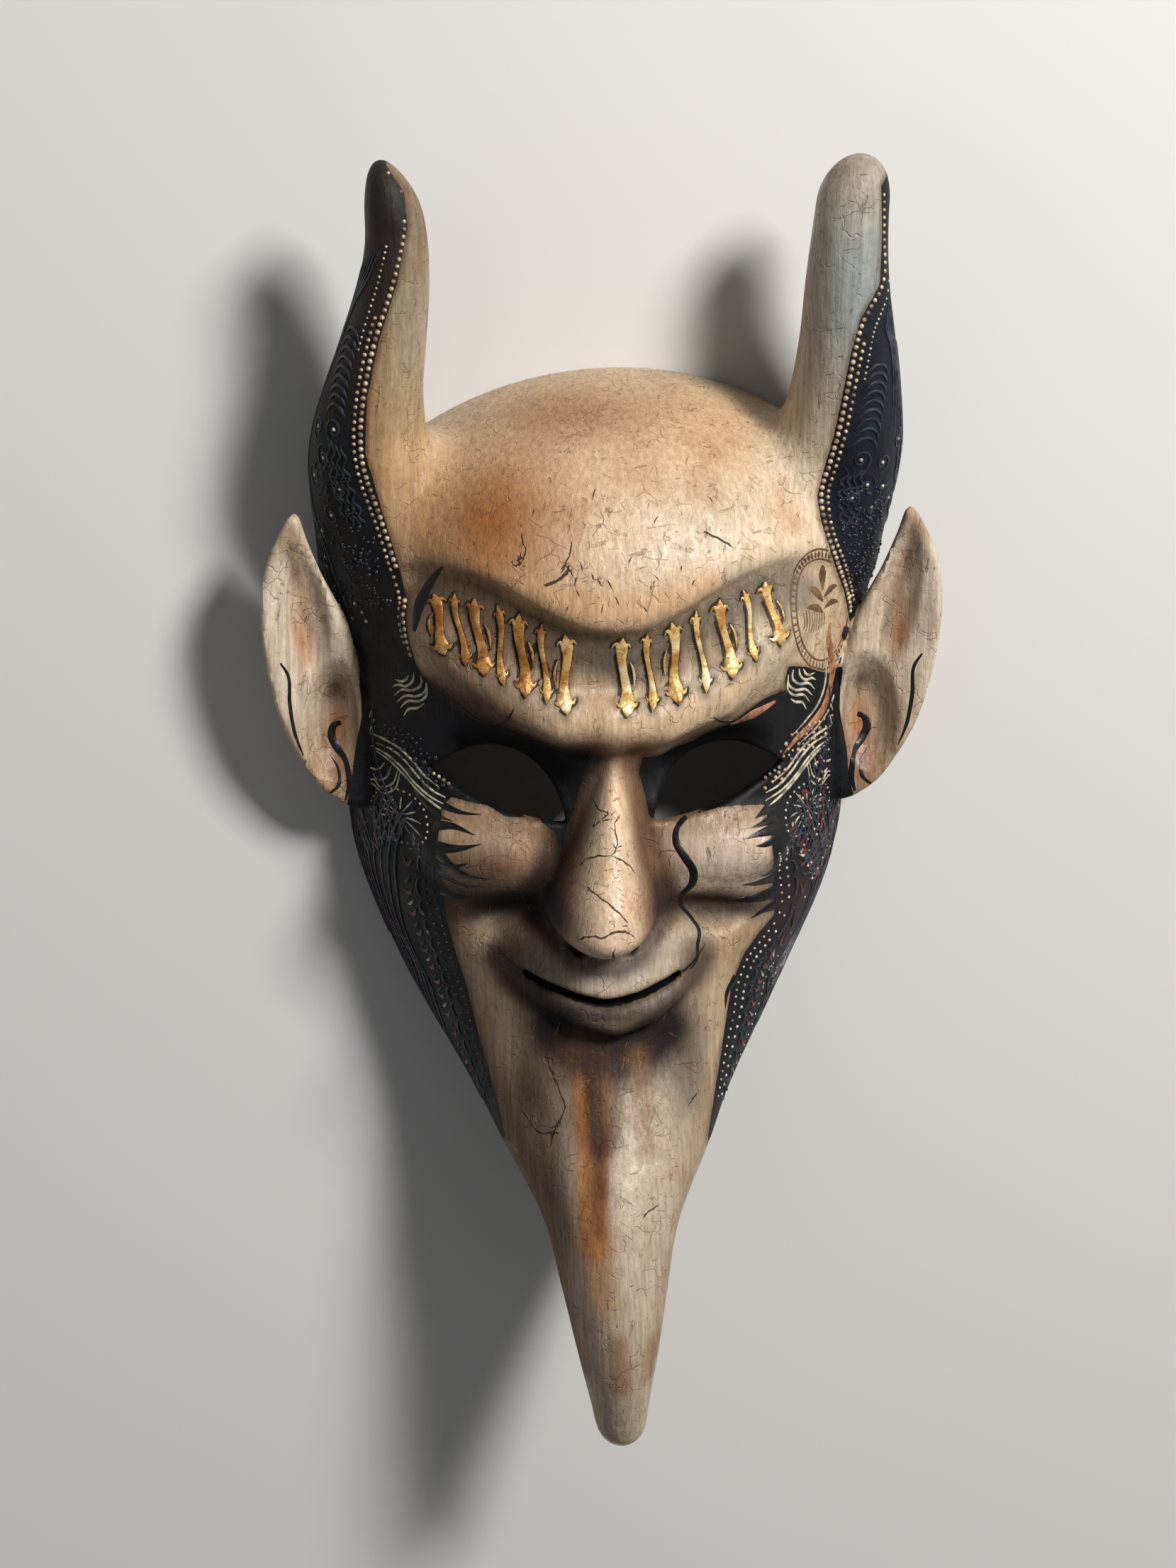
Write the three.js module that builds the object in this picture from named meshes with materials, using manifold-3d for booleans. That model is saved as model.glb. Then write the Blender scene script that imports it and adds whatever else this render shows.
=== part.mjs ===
// A full-face devil mask: one hollow papier-mache shell with its horns and ears, lying on its rim
// with the face up. Lengths are millimetres. X runs to the viewer's right, Y from the chin to the
// horns and Z up, out of the face. While it is shaped, zero is on the rim plane behind the bridge
// of the nose; at the end the mask is moved so that zero is under the middle of its box.
import * as THREE from "three";
import Module from "manifold-3d";

// Shell
const WALL = 4; // thickness of the papier-mache
const FINISH = { color: 0xd9c39e, roughness: 0.45, metalness: 0 };

// Lattice lines for the outer skin and the hollow: [place, spacing], with the spacing running evenly
const SKIN_LATTICE = [
  [[-110, 3.6], [110, 3.6]],
  [[-219, 6], [-75, 3.6], [-66, 2.8], [-10, 2.8], [0, 3.6], [112, 3.6], [122, 5], [240, 6]],
  [[-14, 3.6], [108, 3.6]],
]; // finest at the mouth and the nose
const HOLLOW_LATTICE = [
  [[-104, 8], [104, 8]],
  [[-216, 9], [236, 9]],
  [[-20, 8], [108, 8]],
];
const SKIN_FACES = 6300; // triangles that the skin is thinned to
const HOLLOW_FACES = 1700;
const SHORT_EDGE = 0.5; // edges under this length are closed up after the cuts
const EVENNESS = 2e-5; // how much long edges are spared when a mesh is thinned
const THINNING = { rounds: 60, share: 0.06, turn: 0.4, hold: 0.02 };
const SETTLING = { step: 0.3, reach: 1, flattest: 0.05 };
const TAKEN_IN = -0.2; // value given to a lattice corner that is taken in
const HOLLOW_FLOOR = -14; // the hollow runs on below the rim plane, so that the back is open
const FLOOR_CUT = [400, 600, 40]; // width, length and depth of what is cut away under the rim plane
const CUT_REACH = 120; // height of the cuts for the eyes and the mouth, past the tip of the nose

// Face sections: y, half width, crest height, height of the widest place, exponent, sideways lean
const FACE = [
  [-215, 3.4, 88, 84, 2, 3],
  [-208, 7.6, 93, 83, 2, 2.8],
  [-196, 10.5, 97, 80, 2, 2.5],
  [-176, 15, 99, 74, 2, 2],
  [-158, 18.8, 98, 67, 2, 1.5],
  [-135, 24.5, 94, 56, 2, 1],
  [-110, 38.6, 85, 34, 2.1, 0.5],
  [-90, 50, 75, 12, 2.2, 0],
  [-75, 61, 68, -8, 2.3, 0],
  [-56, 73, 66, -25, 2.3, 0],
  [-36, 83, 65, -30, 2.3, 0],
  [-15, 90, 64, -30, 2.3, 0],
  [20, 93, 66, -30, 2.3, 0],
  [50, 93, 72, -30, 2.3, 0],
  [80, 95, 76, -30, 2.3, 0],
  [110, 95, 70, -30, 2.3, 0],
];
const FACE_END = { inset: 2, blend: 8 };

// Forehead: a dome whose lower edge hangs over the brow in a wide V, and the band under it
const DOME = { centre: [0, 85, -12], radii: [97, 72, 98], shear: 0.055 };
const V_EDGE = [[0, 78.5], [10, 80], [21, 84.5], [36, 92], [47, 96], [58, 98], [75, 97], [110, 85]];
const V_SOFTNESS = 7;
const BAND_DEPTH = 8; // how far the band lies behind the dome

// Features on both sides: places as [distance from the middle, y, z], mirrored by the code
const BROW_ROLL = [
  [1, 47, 71, 9], [17, 48.5, 70, 10], [34, 56, 66, 10], [48, 67, 59, 10], [60, 79, 48, 10], [69, 89, 35, 9],
];
const CHEEK = { centre: [38, -2, 42], radii: [28, 17.5, 25], turn: 8 };
const CHEEK_HOLLOW = { centre: [41, -25.5, 72], radii: [23, 8.5, 22], turn: -10 };
const SOCKET = { centre: [37, 30, 79], radii: [28, 14.5, 30], turn: 17 };
const NOSTRIL = { centre: [8, -31.5, 70], radii: [3.6, 4, 6.5], turn: 0 };
const NOSTRIL_LEAN = -2.6;
const EYE = { centre: [38, 17.5], half: 24.5, upper: 16, lower: 3.5, tilt: 20 };

// Nose sections: y, sideways lean, half width, crest height
const NOSE = [
  [-34, -3, 20, 102],
  [-22, -2.9, 20.8, 101],
  [-13, -2.7, 19.3, 98],
  [-4, -1.8, 16, 93],
  [8, -0.6, 12, 85],
  [24, 0.2, 8, 76],
  [36, 0.5, 6.5, 70.5],
  [46, 0.5, 6.5, 70],
];
const NOSE_BASE = 52; // height of the cheeks beside the nose
const NOSE_TIP = { start: -19, length: 15.5, slant: 0.12, level: 80 };
const NOSE_ROOT = { inset: 4, blend: 5 };
const NOSE_POWERS = { section: 1.9, tip: 2.2, whole: 1.95 };

// Mouth: the muzzle, the lips as round limbs [x, y, z, radius], and the slit between them
const MUZZLE = { centre: [-2, -38, 46], radii: [36, 19, 29], turn: 0 };
const LOWER_LIP = [
  [-31, -43, 57, 2], [-20, -51, 64, 5], [-8, -56, 69, 6.6], [2, -57.5, 70, 7],
  [12, -55, 68.5, 6.4], [22, -49.5, 64, 4.8], [29, -43, 57.5, 2],
];
const UPPER_LIP = [
  [-34, -38, 56, 1.5], [-22, -42, 64, 3], [-10, -46, 70, 4], [-2, -48.5, 72, 4],
  [8, -46, 71, 4], [20, -42, 66, 3], [31, -38, 57, 1.5],
];
const SLIT = [
  [-36, -38.5], [-30, -43], [-22, -47], [-12, -50.2], [-4, -51.6],
  [3, -51.2], [12, -49], [20, -46], [27, -42.5], [30.5, -39],
];
const SLIT_HALF = 1.6;
const SLIT_FLOOR = 61;

// Radii of the blends where two shapes meet
const BLEND = {
  overhang: 5, band: 6, brow: 6, cheek: 5, cheekHollow: 4, muzzle: 6, socket: 5, nose: 3, lip: 3, horn: 14,
  hornRoot: 6, rim: 1,
};

// Scales that keep the slopes of the distance fields near one
const PACE = { face: 0.9, overhang: 0.9, nose: 0.8, horn: 0.95, rim: 0.8 };

// Horn sections: y, centre x, centre z, half width, half depth. The two horns bend differently.
const HORNS = {
  right: {
    sections: [
      [60, 70, 4, 18, 18], [88, 73, 14, 21, 24], [112, 77, 22, 23, 26], [135, 80.5, 31, 21.5, 25],
      [155, 81.5, 38, 18.3, 21], [172, 81.2, 43, 16, 18], [190, 80.2, 47, 14, 15.5],
      [207, 80.3, 50, 12.6, 13.5], [220, 81.2, 51, 12, 12.5], [233, 83, 52, 12, 12.5],
    ],
    tip: { start: 217, length: 15.8 },
  },
  left: {
    sections: [
      [60, -70, 4, 18, 18], [88, -73, 14, 21, 24], [112, -77, 22, 22, 26], [135, -79.5, 31, 20, 24],
      [155, -77.8, 38, 16.7, 21], [172, -74.1, 43, 14.2, 18], [190, -70.7, 47, 11.9, 15.5],
      [205, -69.5, 50, 10.3, 13], [218, -70.8, 52, 9.4, 11.5], [232, -74.3, 53, 8.2, 9.5],
    ],
    tip: { start: 212, length: 19.5 },
  },
};
const HORN_ROOT = 62; // y of the roots, inside the head

// Ear outline: y, inner edge, outer edge, counted from the middle of the head
const EAR = [
  [5, 82, 88], [12, 82, 97], [22, 82, 104], [34, 82, 110], [50, 84, 114.5],
  [66, 87, 117], [78, 90.5, 117.5], [92, 97, 116], [104, 101.5, 111.5], [113, 104, 106.5],
];
const EAR_SHEET = { low: 21, rise: 11, slope: 0.2, from: 84, dish: 3.5 };
const EAR_HALF = 3; // half the thickness of the sheet
const EAR_HOLLOWS = [
  { centre: [102, 78], radii: [8, 30], turn: 8, depth: 4 },
  { centre: [94, 38], radii: [11, 24], turn: -4, depth: 7 },
];
const EAR_STATIONS = 22;
const EAR_SIDES = 18; // points round each station

// Height of the rim: flat round the head, and rising under the jaw to the back of the chin
const RIM = [
  [-225, 92], [-205, 84], [-190, 78], [-170, 66], [-145, 46], [-120, 20], [-104, 4], [-96, -4],
  [-86, -7], [-70, -7], [300, -7],
];

// Small mathematics
const clamp = (v, low, high) => Math.min(high, Math.max(low, v));

function smoothMin(a, b, k) {
  const h = clamp(0.5 + (0.5 * (b - a)) / k, 0, 1);
  return b + (a - b) * h - k * h * (1 - h);
}

const smoothMax = (a, b, k) => -smoothMin(-a, -b, k);

// A smooth function of the first number of each knot, running through one of the others
function curve(knots, column) {
  const t = knots.map((knot) => knot[0]);
  const v = knots.map((knot) => knot[column]);
  const last = t.length - 1;
  const slope = v.map((_, i) => {
    if (i === 0) return (v[1] - v[0]) / (t[1] - t[0]);
    if (i === last) return (v[last] - v[last - 1]) / (t[last] - t[last - 1]);
    const back = t[i] - t[i - 1];
    const ahead = t[i + 1] - t[i];
    const rise = back * back * v[i + 1] + (ahead * ahead - back * back) * v[i] - ahead * ahead * v[i - 1];
    return rise / (back * ahead * (back + ahead));
  });
  return (place) => {
    const q = clamp(place, t[0], t[last]);
    let i = 0;
    while (i < last - 1 && q > t[i + 1]) i += 1;
    const h = t[i + 1] - t[i];
    const s = (q - t[i]) / h;
    const start = (1 + 2 * s) * (1 - s) ** 2 * v[i] + s * (1 - s) ** 2 * h * slope[i];
    return start + s * s * (3 - 2 * s) * v[i + 1] + s * s * (s - 1) * h * slope[i + 1];
  };
}

// Distances. Each is negative inside its shape.
function ellipsoid(x, y, z, shape, side = 1) {
  const [cx, cy, cz] = shape.centre;
  const [rx, ry, rz] = shape.radii;
  const turn = THREE.MathUtils.degToRad(shape.turn ?? 0) * side;
  const dx = Math.cos(turn) * (x - side * cx) + Math.sin(turn) * (y - cy);
  const dy = Math.cos(turn) * (y - cy) - Math.sin(turn) * (x - side * cx);
  const dz = z - cz;
  const near = Math.hypot(dx / rx, dy / ry, dz / rz);
  const steep = Math.hypot(dx / (rx * rx), dy / (ry * ry), dz / (rz * rz));
  return (near * (near - 1)) / Math.max(steep, 1e-6);
}

// Distance to a line through points of two or three coordinates; a last number may be a radius
function limb(place, points, hasRadius) {
  const size = place.length;
  let best = Infinity;
  for (let i = 0; i < points.length - 1; i += 1) {
    const [a, b] = [points[i], points[i + 1]];
    let dot = 0;
    let length2 = 0;
    for (let k = 0; k < size; k += 1) {
      dot += (place[k] - a[k]) * (b[k] - a[k]);
      length2 += (b[k] - a[k]) ** 2;
    }
    const t = clamp(dot / length2, 0, 1);
    let far2 = 0;
    for (let k = 0; k < size; k += 1) far2 += (place[k] - a[k] - t * (b[k] - a[k])) ** 2;
    const radius = hasRadius ? a[size] + (b[size] - a[size]) * t : 0;
    best = Math.min(best, Math.sqrt(far2) - radius);
  }
  return best;
}

// The long face from the brow to the tip of the chin, a rounded box section at each y
const [faceWidth, faceCrest, faceCentre, facePower, faceLean] = [1, 2, 3, 4, 5].map((k) => curve(FACE, k));

function faceBody(x, y, z) {
  const [first, last] = [FACE[0][0], FACE[FACE.length - 1][0]];
  const [width, centre, power] = [faceWidth(y), faceCentre(y), facePower(y)];
  const height = faceCrest(y) - centre;
  const across = Math.abs((x - faceLean(y)) / width) ** power;
  const up = Math.abs((z - centre) / height) ** power;
  const d = ((across + up) ** (1 / power) - 1) * Math.min(width, height) * PACE.face;
  return smoothMax(d, Math.max(first + FACE_END.inset - y, y - last), FACE_END.blend);
}

const vEdge = curve(V_EDGE, 1);

function forehead(x, y, z, body) {
  const dome = ellipsoid(x, y - DOME.shear * x, z, DOME);
  const overhang = smoothMax(dome, (vEdge(Math.abs(x)) - y) * PACE.overhang, V_SOFTNESS);
  return smoothMin(smoothMin(body, overhang, BLEND.overhang), dome + BAND_DEPTH, BLEND.band);
}

const [noseLean, noseWidth, noseCrest] = [1, 2, 3].map((k) => curve(NOSE, k));

// A wedge that widens to its wings, with a round tip that droops over the lip
function nose(x, y, z) {
  const width = noseWidth(y);
  const run = NOSE_TIP.start - (y + NOSE_TIP.slant * (z - NOSE_TIP.level));
  const along = Math.max(run, 0) / NOSE_TIP.length;
  const across = Math.abs(x - noseLean(y)) / width;
  const up = Math.abs(z - NOSE_BASE) / (noseCrest(y) - NOSE_BASE);
  const { section, tip, whole } = NOSE_POWERS;
  const near = (across ** section + up ** section + along ** tip) ** (1 / whole);
  const root = y - NOSE[NOSE.length - 1][0] + NOSE_ROOT.inset;
  return smoothMax((near - 1) * width * PACE.nose, root, NOSE_ROOT.blend);
}

const hornCurves = Object.values(HORNS).map((horn) => [1, 2, 3, 4].map((k) => curve(horn.sections, k)));

// Oval sections strung on a bent line, rounded at the tip
function horn(x, y, z, which) {
  const { start, length } = Object.values(HORNS)[which].tip;
  const [cx, cz, width, depth] = hornCurves[which].map((f) => f(Math.min(y, start + length)));
  const along = Math.max(y - start, 0) / length;
  const near = Math.hypot((x - cx) / width, (z - cz) / depth, along);
  return smoothMax((near - 1) * Math.min(width, depth) * PACE.horn, HORN_ROOT - y, BLEND.hornRoot);
}

const [earInner, earOuter] = [1, 2].map((k) => curve(EAR, k));

// Height of the middle of the ear's sheet: a leaf dished along its length, with two hollows in it
function earSheet(u, y) {
  const [first, last] = [EAR[0][0], EAR[EAR.length - 1][0]];
  const middle = (earInner(y) + earOuter(y)) / 2;
  const half = Math.max((earOuter(y) - earInner(y)) / 2, 1);
  const across = clamp((u - middle) / half, -1, 1);
  const along = (clamp(y, first, last) - first) / (last - first);
  let z = EAR_SHEET.low + EAR_SHEET.rise * along + EAR_SHEET.slope * (u - EAR_SHEET.from);
  z -= EAR_SHEET.dish * Math.sin(Math.PI * along) * (1 - across * across);
  for (const { centre, radii, turn, depth } of EAR_HOLLOWS) {
    const angle = THREE.MathUtils.degToRad(turn);
    const du = Math.cos(angle) * (u - centre[0]) - Math.sin(angle) * (y - centre[1]);
    const dy = Math.sin(angle) * (u - centre[0]) + Math.cos(angle) * (y - centre[1]);
    const near = clamp(1 - (du / radii[0]) ** 2 - (dy / radii[1]) ** 2, 0, 1);
    z -= depth * near * near * (3 - 2 * near);
  }
  return z;
}

// The mask without its ears as if it were filled, before its mouth, nostrils, eyes and back are cut
function filled(x, y, z) {
  let d = forehead(x, y, z, faceBody(x, y, z));
  for (const side of [1, -1]) {
    d = smoothMin(d, limb([side * x, y, z], BROW_ROLL, true), BLEND.brow);
    d = smoothMin(d, ellipsoid(x, y, z, CHEEK, side), BLEND.cheek);
  }
  for (const side of [1, -1]) d = smoothMax(d, -ellipsoid(x, y, z, CHEEK_HOLLOW, side), BLEND.cheekHollow);
  d = smoothMin(d, ellipsoid(x, y, z, MUZZLE), BLEND.muzzle);
  for (const side of [1, -1]) d = smoothMax(d, -ellipsoid(x, y, z, SOCKET, side), BLEND.socket);
  d = smoothMin(d, nose(x, y, z), BLEND.nose);
  d = smoothMin(d, limb([x, y, z], LOWER_LIP, true), BLEND.lip);
  d = smoothMin(d, limb([x, y, z], UPPER_LIP, true), BLEND.lip);
  for (const which of [0, 1]) d = smoothMin(d, horn(x, y, z, which), BLEND.horn);
  return d;
}

const rimHeight = curve(RIM, 1);
const skin = (x, y, z) => smoothMax(filled(x, y, z), (rimHeight(y) - z) * PACE.rim, BLEND.rim);

// The hollow keeps the wall's thickness behind the skin, the nostrils and the mouth's slit
function hollow(x, y, z) {
  const slit = Math.max(limb([x, y], SLIT, false) - SLIT_HALF, SLIT_FLOOR - z);
  const nostrils = [1, -1].map((side) => ellipsoid(x - NOSTRIL_LEAN, y, z, NOSTRIL, side));
  return Math.max(Math.max(filled(x, y, z), -slit, ...nostrils.map((d) => -d)) + WALL, HOLLOW_FLOOR - z);
}

// Lattice lines from stops of [place, spacing]
function latticeLines(stops) {
  const places = [stops[0][0]];
  const end = stops[stops.length - 1][0];
  while (places[places.length - 1] < end) {
    const at = places[places.length - 1];
    let i = 0;
    while (i < stops.length - 2 && at > stops[i + 1][0]) i += 1;
    const share = (at - stops[i][0]) / (stops[i + 1][0] - stops[i][0]);
    places.push(at + stops[i][1] + share * (stops[i + 1][1] - stops[i][1]));
  }
  return places;
}

// Moves a point on to the surface where the field is zero
function settle(field, point, rounds) {
  const { step, reach, flattest } = SETTLING;
  const p = [...point];
  for (let round = 0; round < rounds; round += 1) {
    const here = field(...p);
    const slope = [0, 1, 2].map((k) => {
      const ahead = [...p];
      ahead[k] += step;
      return (field(...ahead) - here) / step;
    });
    const scale = here / Math.max(slope[0] ** 2 + slope[1] ** 2 + slope[2] ** 2, flattest);
    for (let k = 0; k < 3; k += 1) p[k] -= clamp(scale * slope[k], -reach, reach);
  }
  return p;
}

// Where only two opposite corners of a lattice square are inside, one more is taken in, so that the
// surface never touches itself along an edge
function closeDiagonals(values, count, stride) {
  let changed = true;
  while (changed) {
    changed = false;
    for (let axis = 0; axis < 3; axis += 1) {
      const [u, v] = [(axis + 1) % 3, (axis + 2) % 3];
      for (let start = 0; start < values.length; start += 1) {
        const place = [0, 1, 2].map((k) => Math.floor(start / stride[k]) % count[k]);
        if (place[u] + 1 >= count[u] || place[v] + 1 >= count[v]) continue;
        const square = [start, start + stride[u], start + stride[u] + stride[v], start + stride[v]];
        const [a, b, c, d] = square.map((at) => values[at] < 0);
        if (a !== c || b !== d || a === b) continue;
        const [first, second] = a ? [square[1], square[3]] : [square[0], square[2]];
        values[values[first] < values[second] ? first : second] = TAKEN_IN;
        changed = true;
      }
    }
  }
}

// The surface of a field on a lattice: one point in each cell that it crosses, one quad for each
// lattice edge that it crosses
function fieldMesh(field, lattice) {
  const lines = lattice.map(latticeLines);
  const count = lines.map((places) => places.length);
  const stride = [count[1] * count[2], count[2], 1];
  const values = new Float64Array(count[0] * stride[0]);
  for (let i = 0; i < count[0]; i += 1) {
    for (let j = 0; j < count[1]; j += 1) {
      for (let k = 0; k < count[2]; k += 1) {
        values[i * stride[0] + j * stride[1] + k] = field(lines[0][i], lines[1][j], lines[2][k]);
      }
    }
  }

  closeDiagonals(values, count, stride);

  const points = [];
  const pointOf = new Map();
  const corner = (index, place) => index.reduce((sum, n, axis) => sum + (n + place[axis]) * stride[axis], 0);
  for (let i = 0; i < count[0] - 1; i += 1) {
    for (let j = 0; j < count[1] - 1; j += 1) {
      for (let k = 0; k < count[2] - 1; k += 1) {
        const sum = [0, 0, 0];
        let crossings = 0;
        for (let axis = 0; axis < 3; axis += 1) {
          for (let edge = 0; edge < 4; edge += 1) {
            const from = [0, 0, 0];
            from[(axis + 1) % 3] = edge & 1;
            from[(axis + 2) % 3] = edge >> 1;
            const a = values[corner([i, j, k], from)];
            const b = values[corner([i, j, k], from) + stride[axis]];
            if (a < 0 === b < 0) continue;
            const at = [i, j, k].map((n, m) => lines[m][n + from[m]]);
            at[axis] += (a / (a - b)) * (lines[axis][[i, j, k][axis] + 1] - at[axis]);
            for (let m = 0; m < 3; m += 1) sum[m] += at[m];
            crossings += 1;
          }
        }
        if (crossings === 0) continue;
        pointOf.set(corner([i, j, k], [0, 0, 0]), points.length);
        points.push(settle(field, sum.map((v) => v / crossings), 2));
      }
    }
  }

  const triangles = [];
  const apart = (a, b) => Math.hypot(...points[a].map((v, m) => v - points[b][m]));
  for (let axis = 0; axis < 3; axis += 1) {
    const [u, v] = [stride[(axis + 1) % 3], stride[(axis + 2) % 3]];
    for (const cell of pointOf.keys()) {
      const inside = values[cell] < 0;
      if (inside === values[cell + stride[axis]] < 0) continue;
      const ring = [cell, cell - u, cell - u - v, cell - v].map((key) => pointOf.get(key));
      if (inside) ring.reverse();
      const [a, b, c, d] = ring.reverse();
      if (apart(a, c) < apart(b, d)) triangles.push(a, b, c, a, c, d);
      else triangles.push(a, b, d, b, c, d);
    }
  }
  return { points, triangles };
}

// For each point, the sum over its faces of the squared distance to the face's plane, as the ten
// numbers of a symmetric 4 by 4 matrix, weighted by the faces' areas
function planeSums(points, faces) {
  const sums = points.map(() => new Float64Array(10));
  for (const face of faces) {
    const [p, q, r] = face.map((v) => new THREE.Vector3(...points[v]));
    const normal = q.sub(p).cross(r.sub(p));
    const area = normal.length();
    normal.normalize();
    const plane = [normal.x, normal.y, normal.z, -normal.dot(p)];
    let slot = 0;
    for (let i = 0; i < 4; i += 1) {
      for (let j = i; j < 4; j += 1) {
        for (const v of face) sums[v][slot] += area * plane[i] * plane[j];
        slot += 1;
      }
    }
  }
  return sums;
}

// Where one point can best stand for the edge from a to b, and how far that leaves the surface
function drawnTogether(points, sums, a, b) {
  const m = sums[a].map((v, k) => v + sums[b][k]);
  const middle = points[a].map((v, k) => (v + points[b][k]) / 2);
  const hold = THINNING.hold * (m[0] + m[4] + m[7]);
  const matrix = new THREE.Matrix3();
  matrix.set(m[0] + hold, m[1], m[2], m[1], m[4] + hold, m[5], m[2], m[5], m[7] + hold);
  const pull = new THREE.Vector3(
    hold * middle[0] - m[3],
    hold * middle[1] - m[6],
    hold * middle[2] - m[8],
  ).applyMatrix3(matrix.invert());
  const [x, y, z] = pull.toArray();
  const squares = m[0] * x * x + m[4] * y * y + m[7] * z * z + m[9];
  const products = m[1] * x * y + m[2] * x * z + m[5] * y * z + m[3] * x + m[6] * y + m[8] * z;
  const cost = squares + 2 * products;
  const length2 = points[a].reduce((sum, v, k) => sum + (v - points[b][k]) ** 2, 0);
  return { a, b, place: [x, y, z], cost: cost + EVENNESS * length2 * length2 };
}

// A very short edge becomes its lower end, so that the rim stays flat; other edges are left
function shortEdge(points, sums, a, b) {
  const length = Math.hypot(...points[a].map((v, k) => v - points[b][k]));
  const place = points[a][2] < points[b][2] ? points[a] : points[b];
  return length < SHORT_EDGE ? { a, b, place, cost: length } : null;
}

// Whether a face would turn over when one of its corners moves
function turnsOver(points, face, moved, place) {
  const normal = (corners) => {
    const [p, q, r] = corners.map((corner) => new THREE.Vector3(...corner));
    return q.sub(p).cross(r.sub(p));
  };
  const before = normal(face.map((v) => points[v]));
  const after = normal(face.map((v) => (moved.includes(v) ? place : points[v])));
  if (before.length() < SHORT_EDGE) return false;
  return before.normalize().dot(after.normalize()) < THINNING.turn;
}

// Thins a mesh out: round by round, the edges that choose finds cheapest become single points
function thinned({ points, triangles }, wanted, choose = drawnTogether) {
  const places = points.map((point) => [...point]);
  let faces = [];
  for (let i = 0; i < triangles.length; i += 3) faces.push(triangles.slice(i, i + 3));
  for (let round = 0; round < THINNING.rounds && faces.length > wanted; round += 1) {
    const around = places.map(() => []);
    for (const face of faces) for (const v of face) around[v].push(face);
    const ring = (v) => new Set(around[v].flat().filter((w) => w !== v));
    const sums = planeSums(places, faces);
    const edges = [];
    for (const face of faces) {
      for (let k = 0; k < 3; k += 1) {
        const [a, b] = [face[k], face[(k + 1) % 3]];
        const edge = a < b ? choose(places, sums, a, b) : null;
        if (edge) edges.push(edge);
      }
    }
    if (edges.length === 0) break;
    edges.sort((first, second) => first.cost - second.cost);
    let allowed = Math.ceil(Math.min((faces.length - wanted) / 2, faces.length * THINNING.share));
    const busy = new Set();
    for (const { a, b, place } of edges) {
      if (allowed === 0) break;
      if (busy.has(a) || busy.has(b)) continue;
      const [ringA, ringB] = [ring(a), ring(b)];
      if ([...ringA].filter((v) => ringB.has(v)).length !== 2) continue;
      const touched = [...around[a], ...around[b]].filter((face) => !(face.includes(a) && face.includes(b)));
      if (touched.some((face) => turnsOver(places, face, [a, b], place))) continue;
      places[a] = place;
      for (const face of around[b]) face[face.indexOf(b)] = a;
      for (const v of [a, b, ...ringA, ...ringB]) busy.add(v);
      allowed -= 1;
    }
    faces = faces.filter(([p, q, r]) => p !== q && q !== r && r !== p);
  }
  const kept = [...new Set(faces.flat())];
  const renumbered = new Map(kept.map((v, i) => [v, i]));
  return { points: kept.map((v) => places[v]), triangles: faces.flat().map((v) => renumbered.get(v)) };
}

// Solids to join and cut
const wasm = await Module();
wasm.setup();

function solidOf({ points, triangles }) {
  const mesh = new wasm.Mesh({
    numProp: 3,
    vertProperties: new Float32Array(points.flat()),
    triVerts: new Uint32Array(triangles),
  });
  return new wasm.Manifold(mesh);
}

function meshOf(solid) {
  const { vertProperties, triVerts } = solid.getMesh();
  const points = [];
  for (let i = 0; i < vertProperties.length; i += 3) points.push([...vertProperties.slice(i, i + 3)]);
  return { points, triangles: [...triVerts] };
}

// A geometry of three.js as a solid
function solidOfGeometry(geometry) {
  const position = geometry.getAttribute("position");
  const corners = geometry.index ? [...geometry.index.array] : [...Array(position.count).keys()];
  const keys = new Map();
  const points = [];
  const numbers = corners.map((corner) => {
    const point = [position.getX(corner), position.getY(corner), position.getZ(corner)];
    const key = point.map((v) => v.toFixed(4)).join(" ");
    if (!keys.has(key)) keys.set(key, points.push(point) - 1);
    return keys.get(key);
  });
  const triangles = [];
  for (let i = 0; i < numbers.length; i += 3) {
    const [a, b, c] = numbers.slice(i, i + 3);
    if (a !== b && b !== c && c !== a) triangles.push(a, b, c);
  }
  return solidOf({ points, triangles });
}

// An extruded outline as a solid
function prismOf(shape, low, depth) {
  const geometry = new THREE.ExtrudeGeometry(shape, { depth, bevelEnabled: false });
  return solidOfGeometry(geometry.translate(0, 0, low));
}

// An ear as a closed skin round its sheet, station by station, with a rounded edge
function earSolid(side) {
  const [first, last] = [EAR[0][0], EAR[EAR.length - 1][0]];
  const points = [];
  for (let i = 0; i < EAR_STATIONS; i += 1) {
    const y = first + (last - first) * (0.5 - 0.5 * Math.cos((Math.PI * i) / (EAR_STATIONS - 1)));
    const [inner, outer] = [earInner(y), earOuter(y)];
    const thin = Math.min(1, (outer - inner) / (4 * EAR_HALF));
    for (let k = 0; k < EAR_SIDES; k += 1) {
      const angle = (2 * Math.PI * k) / EAR_SIDES;
      const u = (inner + outer) / 2 + ((outer - inner) / 2) * Math.cos(angle);
      const rise = Math.sign(Math.sin(angle)) * Math.sqrt(Math.abs(Math.sin(angle)));
      points.push([side * u, y, earSheet(u, y) + EAR_HALF * thin * rise]);
    }
  }
  const triangles = [];
  for (let i = 0; i < EAR_STATIONS - 1; i += 1) {
    for (let k = 0; k < EAR_SIDES; k += 1) {
      const [a, b] = [i * EAR_SIDES + k, i * EAR_SIDES + ((k + 1) % EAR_SIDES)];
      triangles.push(a, a + EAR_SIDES, b, b, a + EAR_SIDES, b + EAR_SIDES);
    }
  }
  const end = (EAR_STATIONS - 1) * EAR_SIDES;
  for (let k = 1; k < EAR_SIDES - 1; k += 1) triangles.push(0, k, k + 1, end, end + k + 1, end + k);
  if (side < 0) triangles.reverse();
  return solidOf({ points, triangles });
}

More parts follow.
